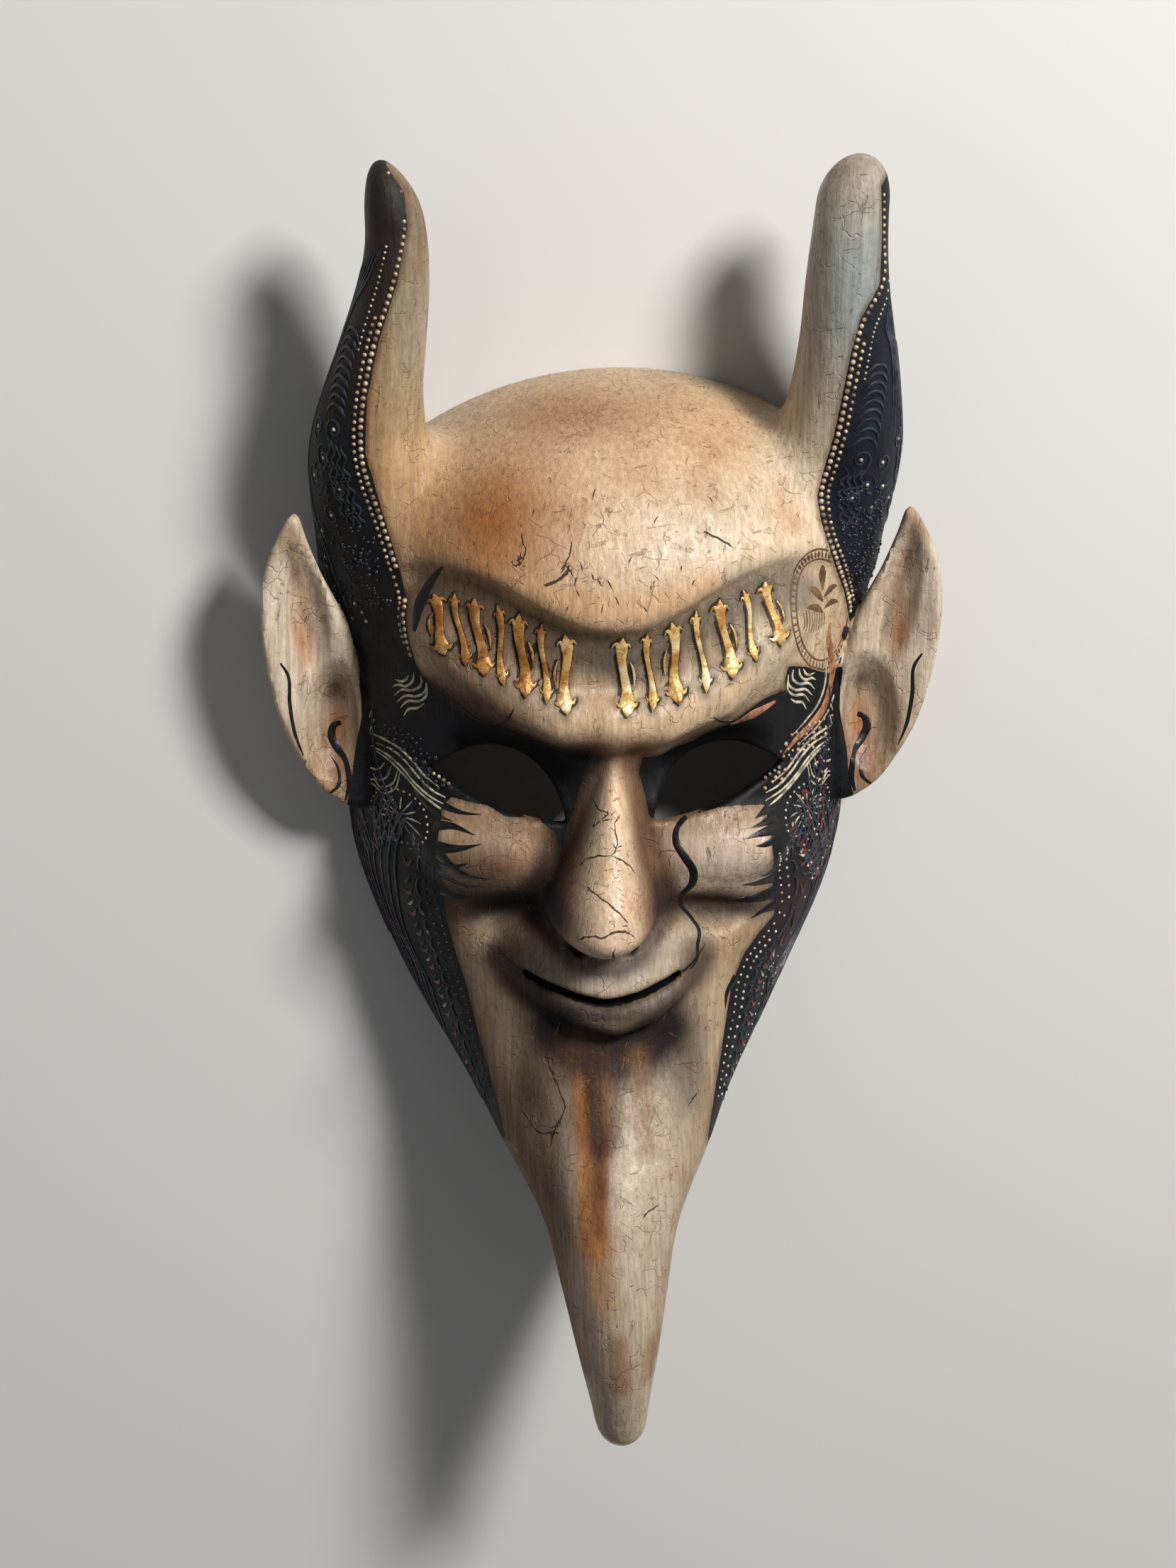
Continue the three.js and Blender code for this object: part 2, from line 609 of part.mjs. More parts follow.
function nostrilSolid(side) {
  const geometry = new THREE.SphereGeometry(1, 16, 10);
  geometry.scale(...NOSTRIL.radii);
  const [x, y, z] = NOSTRIL.centre;
  return solidOfGeometry(geometry.translate(side * x + NOSTRIL_LEAN, y, z));
}

// The mouth's slit: its middle line widened both ways, to nothing at the corners
function slitShape() {
  const line = new THREE.SplineCurve(SLIT.map(([x, y]) => new THREE.Vector2(x, y)));
  const steps = 18;
  const edge = (way) => {
    return Array.from({ length: steps }, (_, i) => {
      const t = way > 0 ? i / steps : 1 - i / steps;
      const tangent = line.getTangent(t);
      const width = way * SLIT_HALF * Math.sqrt(Math.sin(Math.PI * t));
      return line.getPoint(t).add(new THREE.Vector2(-tangent.y, tangent.x).multiplyScalar(width));
    });
  };
  return new THREE.Shape([...edge(1), ...edge(-1)]);
}

// The almond of an eye: two arcs over one chord, tilted up to the outside
function eyeShape(side) {
  const tilt = THREE.MathUtils.degToRad(EYE.tilt);
  const outline = [];
  const arc = (rise, way) => {
    const radius = (EYE.half ** 2 + rise ** 2) / (2 * rise);
    const reach = Math.asin(EYE.half / radius);
    const steps = 10;
    for (let i = 0; i < steps; i += 1) {
      const angle = way * reach * (1 - (2 * i) / steps);
      outline.push([radius * Math.sin(angle), way * (radius * Math.cos(angle) - radius + rise)]);
    }
  };
  arc(EYE.upper, 1);
  arc(EYE.lower, -1);
  const placed = outline.map(([u, v]) => {
    const x = EYE.centre[0] + u * Math.cos(tilt) - v * Math.sin(tilt);
    return new THREE.Vector2(side * x, EYE.centre[1] + u * Math.sin(tilt) + v * Math.cos(tilt));
  });
  return new THREE.Shape(placed);
}

// The shell: the outer skin, less the hollow behind it, the eyes and what is under the rim plane
function maskShell() {
  const skinMesh = thinned(fieldMesh(skin, SKIN_LATTICE), SKIN_FACES);
  const hollowMesh = thinned(fieldMesh(hollow, HOLLOW_LATTICE), HOLLOW_FACES);
  let shell = solidOf(skinMesh);
  for (const side of [1, -1]) shell = shell.add(earSolid(side)).subtract(nostrilSolid(side));
  shell = shell.subtract(prismOf(slitShape(), SLIT_FLOOR, CUT_REACH)).subtract(solidOf(hollowMesh));
  for (const side of [1, -1]) shell = shell.subtract(prismOf(eyeShape(side), 0, CUT_REACH));
  const floor = new THREE.BoxGeometry(...FLOOR_CUT).translate(0, 0, -FLOOR_CUT[2] / 2);
  shell = shell.subtract(solidOfGeometry(floor));
  const { points, triangles } = thinned(meshOf(shell), 0, shortEdge);
  const geometry = new THREE.BufferGeometry();
  geometry.setAttribute("position", new THREE.Float32BufferAttribute(points.flat(), 3));
  geometry.setIndex(triangles);
  geometry.computeBoundingBox();
  const { min, max } = geometry.boundingBox;
  geometry.translate(-(min.x + max.x) / 2, -(min.y + max.y) / 2, -min.z);
  geometry.computeVertexNormals();
  const mesh = new THREE.Mesh(geometry, new THREE.MeshStandardMaterial(FINISH));
  mesh.name = "mask_shell";
  return mesh;
}

const mask = new THREE.Group();
mask.add(maskShell());

export default mask;
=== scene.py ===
"""Looks of the devil mask: a fine painted shell over the CAD one, with its raised ornament.

The mask is shaped in its sculptor's frame, in millimetres: x to the viewer's right, y from the chin
to the horns, z out of the face, zero on the rim plane behind the bridge of the nose.
"""
import math

import bmesh
import bpy
import numpy as np
from mathutils import Matrix, Vector


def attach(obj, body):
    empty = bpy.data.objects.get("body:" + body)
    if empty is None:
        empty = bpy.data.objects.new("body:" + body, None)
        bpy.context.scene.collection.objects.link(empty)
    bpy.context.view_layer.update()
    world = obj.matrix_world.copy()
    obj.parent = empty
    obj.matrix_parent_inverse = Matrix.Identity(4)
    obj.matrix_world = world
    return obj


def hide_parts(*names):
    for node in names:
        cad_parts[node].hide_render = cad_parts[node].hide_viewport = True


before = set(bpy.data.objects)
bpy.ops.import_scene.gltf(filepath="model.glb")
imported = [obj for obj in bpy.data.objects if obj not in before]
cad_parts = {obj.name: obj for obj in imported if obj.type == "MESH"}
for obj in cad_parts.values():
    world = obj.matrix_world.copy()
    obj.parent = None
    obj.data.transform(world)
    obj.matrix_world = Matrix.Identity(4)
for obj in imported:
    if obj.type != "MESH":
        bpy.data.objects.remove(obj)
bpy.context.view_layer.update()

MM = 0.001
MIDDLE_Y = 11.128   # y, in the sculptor's frame, of the middle of the CAD box
SHELL = "mask_shell"
rng = np.random.default_rng(7)


# Camera, at the photograph's viewing angle
VIEW_TILT = math.radians(15)    # how far above the face's axis the camera stands, towards the horns
VIEW_YAW = math.radians(4)
VIEW_AIM = (-6.2, 18.4, 45.0)
VIEW_DISTANCE = 1100.0
VIEW_SCALE = 0.245              # millimetres of the mask to a pixel of the photograph
PHOTO_HEIGHT = 2212
SENSOR = 36.0


def part_place(x, y, z):
    """A place in the sculptor's frame as metres in the part's frame."""
    return Vector((x * MM, (y - MIDDLE_Y) * MM, z * MM))


def make_camera():
    """The camera that sees the mask as the photograph does."""
    back = Vector((-math.sin(VIEW_YAW) * math.cos(VIEW_TILT), math.sin(VIEW_TILT),
                   math.cos(VIEW_YAW) * math.cos(VIEW_TILT))).normalized()
    right = Vector((0, 1, 0)).cross(back).normalized()
    up = back.cross(right)
    data = bpy.data.cameras.new("photo_view")
    data.sensor_fit = "VERTICAL"
    data.sensor_height = SENSOR
    data.lens = VIEW_DISTANCE / VIEW_SCALE * SENSOR / PHOTO_HEIGHT
    camera = bpy.data.objects.new("photo_view", data)
    bpy.context.scene.collection.objects.link(camera)
    turn = Matrix((right, up, back)).transposed().to_4x4()
    camera.matrix_world = Matrix.Translation(part_place(*VIEW_AIM) + back * VIEW_DISTANCE * MM) @ turn
    bpy.context.scene.camera = camera


make_camera()


# Small mathematics on arrays
def smooth_min(a, b, k):
    h = np.clip(0.5 + 0.5 * (b - a) / k, 0.0, 1.0)
    return b + (a - b) * h - k * h * (1.0 - h)


def smooth_max(a, b, k):
    return -smooth_min(-a, -b, k)


def smooth_step(low, high, t):
    s = np.clip((t - low) / (high - low), 0.0, 1.0)
    return s * s * (3.0 - 2.0 * s)


def through(t, rows, fine):
    """The smooth curve through rows of numbers at t, read off at fine."""
    i = np.clip(np.searchsorted(t, fine) - 1, 0, len(t) - 2)
    h = (t[i + 1] - t[i])[:, None]
    s = (fine - t[i])[:, None] / h
    slope = np.gradient(rows, t, axis=0)
    return ((1 + 2 * s) * (1 - s) ** 2 * rows[i] + s * (1 - s) ** 2 * h * slope[i]
            + s * s * (3 - 2 * s) * rows[i + 1] + s * s * (s - 1) * h * slope[i + 1])


def curve(knots, column):
    """A smooth function of each knot's first number through another of its numbers."""
    table = np.array(knots, float)
    fine = np.linspace(table[0, 0], table[-1, 0], 600)
    value = through(table[:, 0], table[:, [column]], fine)[:, 0]
    return lambda q: np.interp(q, fine, value)


def turned(x, y, degrees):
    """Places turned about the origin."""
    c, s = math.cos(math.radians(degrees)), math.sin(math.radians(degrees))
    return c * x - s * y, s * x + c * y


def ellipsoid(x, y, z, centre, radii, turn=0.0):
    """Near-distance to an ellipsoid, turned about z by turn degrees."""
    dx, dy = turned(x - centre[0], y - centre[1], -turn)
    dz = z - centre[2]
    rx, ry, rz = radii
    near = np.sqrt((dx / rx) ** 2 + (dy / ry) ** 2 + (dz / rz) ** 2)
    steep = np.sqrt((dx / rx ** 2) ** 2 + (dy / ry ** 2) ** 2 + (dz / rz ** 2) ** 2)
    return near * (near - 1.0) / np.maximum(steep, 1e-6)


def limb(x, y, z, points):
    """Distance to a round limb through points (x, y, z, radius)."""
    best = None
    for (ax, ay, az, ar), (bx, by, bz, br) in zip(points, points[1:]):
        ux, uy, uz = bx - ax, by - ay, bz - az
        length2 = ux * ux + uy * uy + uz * uz
        t = np.clip(((x - ax) * ux + (y - ay) * uy + (z - az) * uz) / length2, 0.0, 1.0)
        d = np.sqrt((x - ax - t * ux) ** 2 + (y - ay - t * uy) ** 2 + (z - az - t * uz) ** 2)
        d = d - (ar + (br - ar) * t)
        best = d if best is None else np.minimum(best, d)
    return best


# Form: the same named sizes as the part's source
WALL = 4.0
HOLLOW_FLOOR = -14.0    # z, below the rim, where the scooped-out form ends
# y, half width, crest height, height of the widest place, exponent, sideways lean
FACE = [
    (-215, 3.4, 88, 84, 2, 3), (-208, 7.6, 93, 83, 2, 2.8), (-196, 10.5, 97, 80, 2, 2.5),
    (-176, 15, 99, 74, 2, 2), (-158, 18.8, 98, 67, 2, 1.5), (-135, 24.5, 94, 56, 2, 1),
    (-110, 38.6, 85, 34, 2.1, 0.5), (-90, 50, 75, 12, 2.2, 0), (-75, 61, 68, -8, 2.3, 0),
    (-56, 73, 66, -25, 2.3, 0), (-36, 83, 65, -30, 2.3, 0), (-15, 90, 64, -30, 2.3, 0),
    (20, 93, 66, -30, 2.3, 0), (50, 93, 72, -30, 2.3, 0), (80, 95, 76, -30, 2.3, 0),
    (110, 95, 70, -30, 2.3, 0),
]
DOME = (0, 85, -12), (97, 72, 98)
DOME_SHEAR = 0.055
V_EDGE = [(0, 78.5), (10, 80), (21, 84.5), (36, 92), (47, 96), (58, 98), (75, 97), (110, 85)]
V_SOFTNESS = 7.0
BAND_DEPTH = 8.0
BROW_ROLL = [(1, 47, 71, 9), (17, 48.5, 70, 10), (34, 56, 66, 10), (48, 67, 59, 10), (60, 79, 48, 10),
             (69, 89, 35, 9)]
CHEEK = (38, -2, 42), (28, 17.5, 25), 8
CHEEK_HOLLOW = (41, -25.5, 72), (23, 8.5, 22), -10
SOCKET = (37, 30, 79), (28, 14.5, 30), 17
MUZZLE = (-2, -38, 46), (36, 19, 29)
NOSTRIL = (8, -31.5, 70), (3.6, 4, 6.5)
NOSTRIL_LEAN = -2.6
EYE = {"centre": (38, 17.5), "half": 24.5, "upper": 16, "lower": 3.5, "tilt": 20}
# y, sideways lean, half width, crest height
NOSE = [(-34, -3.0, 20, 102), (-22, -2.9, 20.8, 101), (-13, -2.7, 19.3, 98), (-4, -1.8, 16, 93),
        (8, -0.6, 12, 85), (24, 0.2, 8, 76), (36, 0.5, 6.5, 70.5), (46, 0.5, 6.5, 70)]
NOSE_BASE = 52.0
NOSE_TIP, NOSE_TIP_REACH = -19.0, 15.5      # y where the tip starts to round off, and how far it goes on
NOSE_DROOP, NOSE_TIP_Z = 0.12, 80.0
LOWER_LIP = [(-31, -43, 57, 2), (-20, -51, 64, 5), (-8, -56, 69, 6.6), (2, -57.5, 70, 7),
             (12, -55, 68.5, 6.4), (22, -49.5, 64, 4.8), (29, -43, 57.5, 2)]
UPPER_LIP = [(-34, -38, 56, 1.5), (-22, -42, 64, 3), (-10, -46, 70, 4), (-2, -48.5, 72, 4),
             (8, -46, 71, 4), (20, -42, 66, 3), (31, -38, 57, 1.5)]
SLIT = [(-36, -38.5), (-30, -43), (-22, -47), (-12, -50.2), (-4, -51.6), (3, -51.2), (12, -49),
        (20, -46), (27, -42.5), (30.5, -39)]
SLIT_HALF, SLIT_LEAST = 1.3, 1.0
SLIT_EDGE, SLIT_DEPTH = 0.2, 8.0    # how far the slit's black runs out on the lips, and below its floor
SLIT_SPAN = -2.75, 33.25    # its middle and how far it reaches to each side
SLIT_FLOOR = 61.0
# y, centre x, centre z, half width, half depth
HORNS = {
    1: [(60, 70, 4, 18, 18), (88, 73, 14, 21, 24), (112, 77, 22, 23, 26), (135, 80.5, 31, 21.5, 25),
        (155, 81.5, 38, 18.3, 21), (172, 81.2, 43, 16, 18), (190, 80.2, 47, 14, 15.5),
        (207, 80.3, 50, 12.6, 13.5), (220, 81.2, 51, 12, 12.5), (233, 83, 52, 12, 12.5)],
    -1: [(60, -70, 4, 18, 18), (88, -73, 14, 21, 24), (112, -77, 22, 22, 26), (135, -79.5, 31, 20, 24),
         (155, -77.8, 38, 16.7, 21), (172, -74.1, 43, 14.2, 18), (190, -70.7, 47, 11.9, 15.5),
         (205, -69.5, 50, 10.3, 13), (218, -70.8, 52, 9.4, 11.5), (232, -74.3, 53, 8.2, 9.5)],
}
HORN_TIP = {1: (217.0, 15.8), -1: (212.0, 19.5)}
HORN_ROOT = 62.0
# y, inner edge, outer edge
EAR = [(5, 82, 88), (12, 82, 97), (22, 82, 104), (34, 82, 110), (50, 84, 114.5), (66, 87, 117),
       (78, 90.5, 117.5), (92, 97, 116), (104, 101.5, 111.5), (113, 104, 106.5)]
EAR_HALF = 3.0
EAR_LOW, EAR_RISE, EAR_SLANT, EAR_ROOT, EAR_DISH = 21.0, 11.0, 0.2, 84.0, 3.5
EAR_HOLLOWS = [((102, 78), (8, 30), 8, 4.0), ((94, 38), (11, 24), -4, 7.0)]
RIM = [(-225, 92), (-205, 84), (-190, 78), (-170, 66), (-145, 46), (-120, 20), (-104, 4), (-94, -5),
       (-82, -10), (-70, -10), (300, -10)]

face_width, face_crest, face_centre, face_power, face_lean = (curve(FACE, k) for k in range(1, 6))
v_edge = curve(V_EDGE, 1)
nose_lean, nose_width, nose_crest = (curve(NOSE, k) for k in (1, 2, 3))
horn_curves = {side: [curve(HORNS[side], k) for k in (1, 2, 3, 4)] for side in HORNS}
ear_inner, ear_outer = curve(EAR, 1), curve(EAR, 2)
rim_height = curve(RIM, 1)


def face_body(x, y, z):
    """The long face from the brow to the chin's tip: a rounded box section at each y."""
    width, centre, power = face_width(y), face_centre(y), face_power(y)
    height = face_crest(y) - centre
    across = np.abs((x - face_lean(y)) / width) ** power
    up = np.abs((z - centre) / height) ** power
    d = ((across + up) ** (1.0 / power) - 1.0) * np.minimum(width, height) * 0.9
    return smooth_max(d, np.maximum(FACE[0][0] + 2.0 - y, y - FACE[-1][0]), 8.0)


def forehead(x, y, z, body):
    """A dome whose lower edge hangs over the brow in a wide V, and the band under it."""
    dome = ellipsoid(x, y - DOME_SHEAR * x, z, *DOME)
    overhang = smooth_max(dome, (v_edge(np.abs(x)) - y) * 0.9, V_SOFTNESS)
    return smooth_min(smooth_min(body, overhang, 5.0), dome + BAND_DEPTH, 6.0)


def nose(x, y, z):
    """A wedge that widens to its wings, with a round tip that droops over the lip."""
    width = nose_width(y)
    along = np.maximum(NOSE_TIP - y - NOSE_DROOP * (z - NOSE_TIP_Z), 0.0) / NOSE_TIP_REACH
    across = np.abs(x - nose_lean(y)) / width
    up = np.abs(z - NOSE_BASE) / (nose_crest(y) - NOSE_BASE)
    near = (across ** 1.9 + up ** 1.9 + along ** 2.2) ** (1 / 1.95)
    return smooth_max((near - 1.0) * width * 0.8, y - NOSE[-1][0] + 4.0, 5.0)


def horn(x, y, z, side):
    """Oval sections strung on a bent line, rounded at the tip."""
    start, length = HORN_TIP[side]
    cx, cz, width, depth = (f(np.minimum(y, start + length)) for f in horn_curves[side])
    along = np.maximum(y - start, 0.0) / length
    near = np.sqrt(((x - cx) / width) ** 2 + ((z - cz) / depth) ** 2 + along ** 2)
    return smooth_max((near - 1.0) * np.minimum(width, depth) * 0.95, HORN_ROOT - y, 6.0)


def ear_sheet(u, y):
    """Height of the middle of the ear's sheet: a leaf dished along its length, with two hollows."""
    inner, outer = ear_inner(y), ear_outer(y)
    across = np.clip((u - (inner + outer) / 2) / np.maximum((outer - inner) / 2, 1.0), -1.0, 1.0)
    along = (np.clip(y, EAR[0][0], EAR[-1][0]) - EAR[0][0]) / (EAR[-1][0] - EAR[0][0])
    z = EAR_LOW + EAR_RISE * along + EAR_SLANT * (u - EAR_ROOT)
    z = z - EAR_DISH * np.sin(np.pi * along) * (1 - across * across)
    for (cu, cy), (ru, ry), turn, depth in EAR_HOLLOWS:
        du, dy = turned(u - cu, y - cy, turn)
        near = np.clip(1 - (du / ru) ** 2 - (dy / ry) ** 2, 0.0, 1.0)
        z = z - depth * near * near * (3 - 2 * near)
    return z


def ear(x, y, z, side):
    """The ear as a sheet of even thickness with a round edge."""
    u = side * x
    inner, outer = ear_inner(y), ear_outer(y)
    edge = (np.abs(u - (inner + outer) / 2) - (outer - inner) / 2) * 0.92
    outline = smooth_max(edge, np.maximum(EAR[0][0] - y, y - EAR[-1][0]), 3.0)
    rise = (z - ear_sheet(u, y)) * 0.9
    return np.hypot(np.maximum(outline + EAR_HALF, 0.0), rise) - EAR_HALF


def line_distance(x, y, points):
    """Distance in plan to a line through points."""
    best = None
    for (ax, ay), (bx, by) in zip(points, points[1:]):
        ux, uy = bx - ax, by - ay
        t = np.clip(((x - ax) * ux + (y - ay) * uy) / (ux * ux + uy * uy), 0.0, 1.0)
        d = np.hypot(x - ax - t * ux, y - ay - t * uy)
        best = d if best is None else np.minimum(best, d)
    return best


def slit_half(x):
    """Half the width of the mouth's slit, which ends short of its corners: negative beyond its ends."""
    middle, reach = SLIT_SPAN
    half = SLIT_HALF * np.clip(1.0 - ((x - middle) / reach) ** 2, 0.0, 1.0) ** 0.25
    return np.where(half < SLIT_LEAST, -1.0, half)


def head(x, y, z):
    """The mask as if it were filled, without its ears."""
    d = forehead(x, y, z, face_body(x, y, z))
    for side in (1, -1):
        d = smooth_min(d, limb(side * x, y, z, BROW_ROLL), 6.0)
        d = smooth_min(d, ellipsoid(side * x, y, z, *CHEEK), 5.0)
    for side in (1, -1):
        d = smooth_max(d, -ellipsoid(side * x, y, z, *CHEEK_HOLLOW), 4.0)
    d = smooth_min(d, ellipsoid(x, y, z, *MUZZLE), 6.0)
    for side in (1, -1):
        d = smooth_max(d, -ellipsoid(side * x, y, z, *SOCKET), 5.0)
    d = smooth_min(d, nose(x, y, z), 3.0)
    for side in (1, -1):
        d = smooth_max(d, -ellipsoid(side * (x - NOSTRIL_LEAN), y, z, *NOSTRIL), 2.0)
    d = smooth_min(d, limb(x, y, z, LOWER_LIP), 3.0)
    d = smooth_min(d, limb(x, y, z, UPPER_LIP), 3.0)
    slit = np.maximum(line_distance(x, y, SLIT) - slit_half(x), SLIT_FLOOR - z)
    d = smooth_max(d, -slit, 1.5)
    for side in (1, -1):
        d = smooth_min(d, horn(x, y, z, side), 14.0)
    return d


def filled(x, y, z):
    """The mask with its ears, as if it were filled."""
    d = head(x, y, z)
    for side in (1, -1):
        d = smooth_min(d, ear(x, y, z, side), 3.0)
    return d


def eye(x, y, side):
    """The opening of an eye from the front, an almond that is fuller above: negative inside."""
    u, v = turned(side * x - EYE["centre"][0], y - EYE["centre"][1], -EYE["tilt"])
    half = EYE["half"]

    def arc(rise, way):
        radius = (half * half + rise * rise) / (2 * rise)
        return np.hypot(u, v * way + radius - rise) - radius

    return np.maximum(arc(EYE["upper"], 1.0), arc(EYE["lower"], -1.0))


def skin(x, y, z):
    """The outside of the mask with its rim and its eyes cut."""
    d = smooth_max(filled(x, y, z), np.maximum((rim_height(y) - z) * 0.8, -z), 1.0)
    for side in (1, -1):
        d = smooth_max(d, -eye(x, y, side), 1.5)
    return d


def hollow(x, y, z):
    """What is scooped out behind the skin, running on below the rim."""
    return np.maximum(head(x, y, z) + WALL, HOLLOW_FLOOR - z)


# Surfaces from fields
def lattice(stops):
    """Lattice lines from stops of (place, spacing), with the spacing running evenly."""
    places = [float(stops[0][0])]
    ends, steps = zip(*stops)
    while places[-1] < ends[-1]:
        places.append(places[-1] + float(np.interp(places[-1], ends, steps)))
    return np.array(places)


def in_parts(field, x, y, z, size=400000):
    out = np.empty(len(x), np.float32)
    for i in range(0, len(x), size):
        out[i:i + size] = field(x[i:i + size], y[i:i + size], z[i:i + size])
    return out


def corners(grid):
    """The grid's values at the eight corners of each of its cells."""
    nx, ny, nz = (n - 1 for n in grid.shape)
    return [grid[a:nx + a, b:ny + b, c:nz + c] for a in (0, 1) for b in (0, 1) for c in (0, 1)]


def lattice_values(field, lines, skip=5, reach=1.6):
    """The field at the lattice's corners, worked out only near the surface."""
    count = [len(line) for line in lines]
    coarse = [np.unique(np.append(np.arange(0, n, skip), n - 1)) for n in count]
    grid = np.meshgrid(*(line[c] for line, c in zip(lines, coarse)), indexing="ij")
    rough = in_parts(field, *(g.ravel() for g in grid)).reshape(grid[0].shape)
    gaps = [np.diff(line[c]) for line, c in zip(lines, coarse)]
    size = np.maximum.outer(np.maximum.outer(gaps[0], gaps[1]), gaps[2]) * reach
    eight = corners(rough)
    low, high = np.minimum.reduce(eight), np.maximum.reduce(eight)
    near = (low < size) & (high > -size)

    def block(at):
        return tuple(slice(c[k], c[k + 1] + 1) for c, k in zip(coarse, at))

    values = np.full(count, 1e3, np.float32)
    for at in np.argwhere(~near & (high < 0)):
        values[block(at)] = -1e3
    wanted = np.zeros(count, bool)
    for at in np.argwhere(near):
        wanted[block(at)] = True
    where = np.nonzero(wanted)
    values[where] = in_parts(field, *(line[i] for line, i in zip(lines, where)))
    return values


def surface_nets(field, lines):
    """One point in each lattice cell that the surface crosses, and one quad for each crossed edge."""
    values = lattice_values(field, lines)
    inside = values < 0
    total = sum(corner.astype(np.int8) for corner in corners(inside))
    cells = np.array(np.nonzero((total > 0) & (total < 8)))
    index = np.full(total.shape, -1, np.int32)
    index[tuple(cells)] = np.arange(cells.shape[1])
    point = np.zeros((3, cells.shape[1]))
    crossings = np.zeros(cells.shape[1])
    for axis in range(3):
        others = [k for k in range(3) if k != axis]
        for corner in ((0, 0), (0, 1), (1, 0), (1, 1)):
            start = cells.copy()
            start[others[0]] += corner[0]
            start[others[1]] += corner[1]
            end = start.copy()
            end[axis] += 1
            f0, f1 = values[tuple(start)].astype(float), values[tuple(end)].astype(float)
            crossed = (f0 < 0) != (f1 < 0)
            share = np.where(crossed, f0 / np.where(crossed, f0 - f1, 1.0), 0.0)
            for k in range(3):
                here = lines[k][start[k]]
                point[k] += (here + share * (lines[k][end[k]] - here)) * crossed
            crossings += crossed
    quads = []
    for axis in range(3):
        a, b = [k for k in range(3) if k != axis]
        first, second = [slice(1, -1)] * 3, [slice(1, -1)] * 3
        first[axis], second[axis] = slice(0, -1), slice(1, None)
        changed = np.argwhere(inside[tuple(first)] != inside[tuple(second)])
        outward = inside[tuple(first)][tuple(changed.T)]
        changed[:, [a, b]] += 1

        def cell(step_a, step_b):
            at = changed.copy()
            at[:, a] += step_a
            at[:, b] += step_b
            return index[tuple(at.T)]

        ring = np.stack([cell(-1, -1), cell(0, -1), cell(0, 0), cell(-1, 0)], 1)
        keep = outward if axis != 1 else ~outward
        ring[~keep] = ring[~keep][:, ::-1]
        quads.append(ring)
    return (point / crossings).T, np.concatenate(quads)


def slope_of(field, p, step=0.35):
    """The field and its slope at points."""
    here = field(p[:, 0], p[:, 1], p[:, 2])
    slope = np.stack([(field(*(p + step * np.eye(3)[k]).T) - here) / step for k in range(3)], 1)
    return here, slope


def settle(field, p, rounds=2, limit=1.0):
    """Moves points on to the surface along the field's slope."""
    for _ in range(rounds):
        here, slope = slope_of(field, p)
        move = here[:, None] * slope / np.maximum((slope * slope).sum(1), 1e-6)[:, None]
        length = np.linalg.norm(move, axis=1)
        p = p - move * np.minimum(1.0, limit / np.maximum(length, 1e-9))[:, None]
    return p


def relax(field, p, quads, rounds=2, amount=0.5):
    """Evens out the points over the surface, then sets them back on it."""
    edges = np.concatenate([quads[:, [k, (k + 1) % 4]] for k in range(4)])
    edges = np.concatenate([edges, edges[:, ::-1]])
    count = np.bincount(edges[:, 0], minlength=len(p)).astype(float)
    for _ in range(rounds):
        mean = np.stack([np.bincount(edges[:, 0], weights=p[edges[:, 1], k], minlength=len(p))
                         for k in range(3)], 1) / count[:, None]
        p = settle(field, p + amount * (mean - p), 1)
    return p


def new_object(name, points, faces):
    """A mesh object from points in the sculptor's frame."""
    mesh = bpy.data.meshes.new(name)
    placed = (np.asarray(points, float) - (0.0, MIDDLE_Y, 0.0)) * MM
    mesh.from_pydata(placed.tolist(), [], [list(map(int, f)) for f in faces])
    mesh.validate()
    obj = bpy.data.objects.new(name, mesh)
    bpy.context.scene.collection.objects.link(obj)
    return obj


SKIN_CELL, HOLLOW_CELL = 1.5, 4.5
# for x, y and z, places and the spacing of the lattice there
SKIN_LATTICE = [
    [(-126, SKIN_CELL * 1.15), (-70, SKIN_CELL), (70, SKIN_CELL), (126, SKIN_CELL * 1.15)],
    [(-221, SKIN_CELL * 1.4), (-80, SKIN_CELL), (112, SKIN_CELL), (240, SKIN_CELL * 1.5)],
    [(-4, SKIN_CELL), (108, SKIN_CELL)],
]
HOLLOW_LATTICE = [[(low, HOLLOW_CELL), (high, HOLLOW_CELL)]
                  for low, high in ((-104, 104), (-219, 236), (-20, 108))]
SHARP = 48.0    # degrees from which an edge of the shell is drawn sharp
MERGE = 1e-6    # points closer than this become one, in metres


def keep_whole(mesh):
    """Keeps the largest joined part of a mesh, without flaps of two faces on the same points."""
    work = bmesh.new()
    work.from_mesh(mesh)
    bmesh.ops.remove_doubles(work, verts=work.verts, dist=MERGE)
    work.verts.index_update()
    twins = {}
    for face in work.faces:
        twins.setdefault(frozenset(vert.index for vert in face.verts), []).append(face)
    flaps = [face for faces in twins.values() if len(faces) > 1 for face in faces]
    bmesh.ops.delete(work, geom=flaps, context="FACES")
    left, largest = set(work.verts), []
    while left:
        part = [left.pop()]
        for vert in part:    # the list grows while it is walked
            for edge in vert.link_edges:
                other = edge.other_vert(vert)
                if other in left:
                    left.remove(other)
                    part.append(other)
        largest = max(largest, part, key=len)
    bmesh.ops.delete(work, geom=list(set(work.verts) - set(largest)), context="VERTS")
    work.to_mesh(mesh)
    work.free()


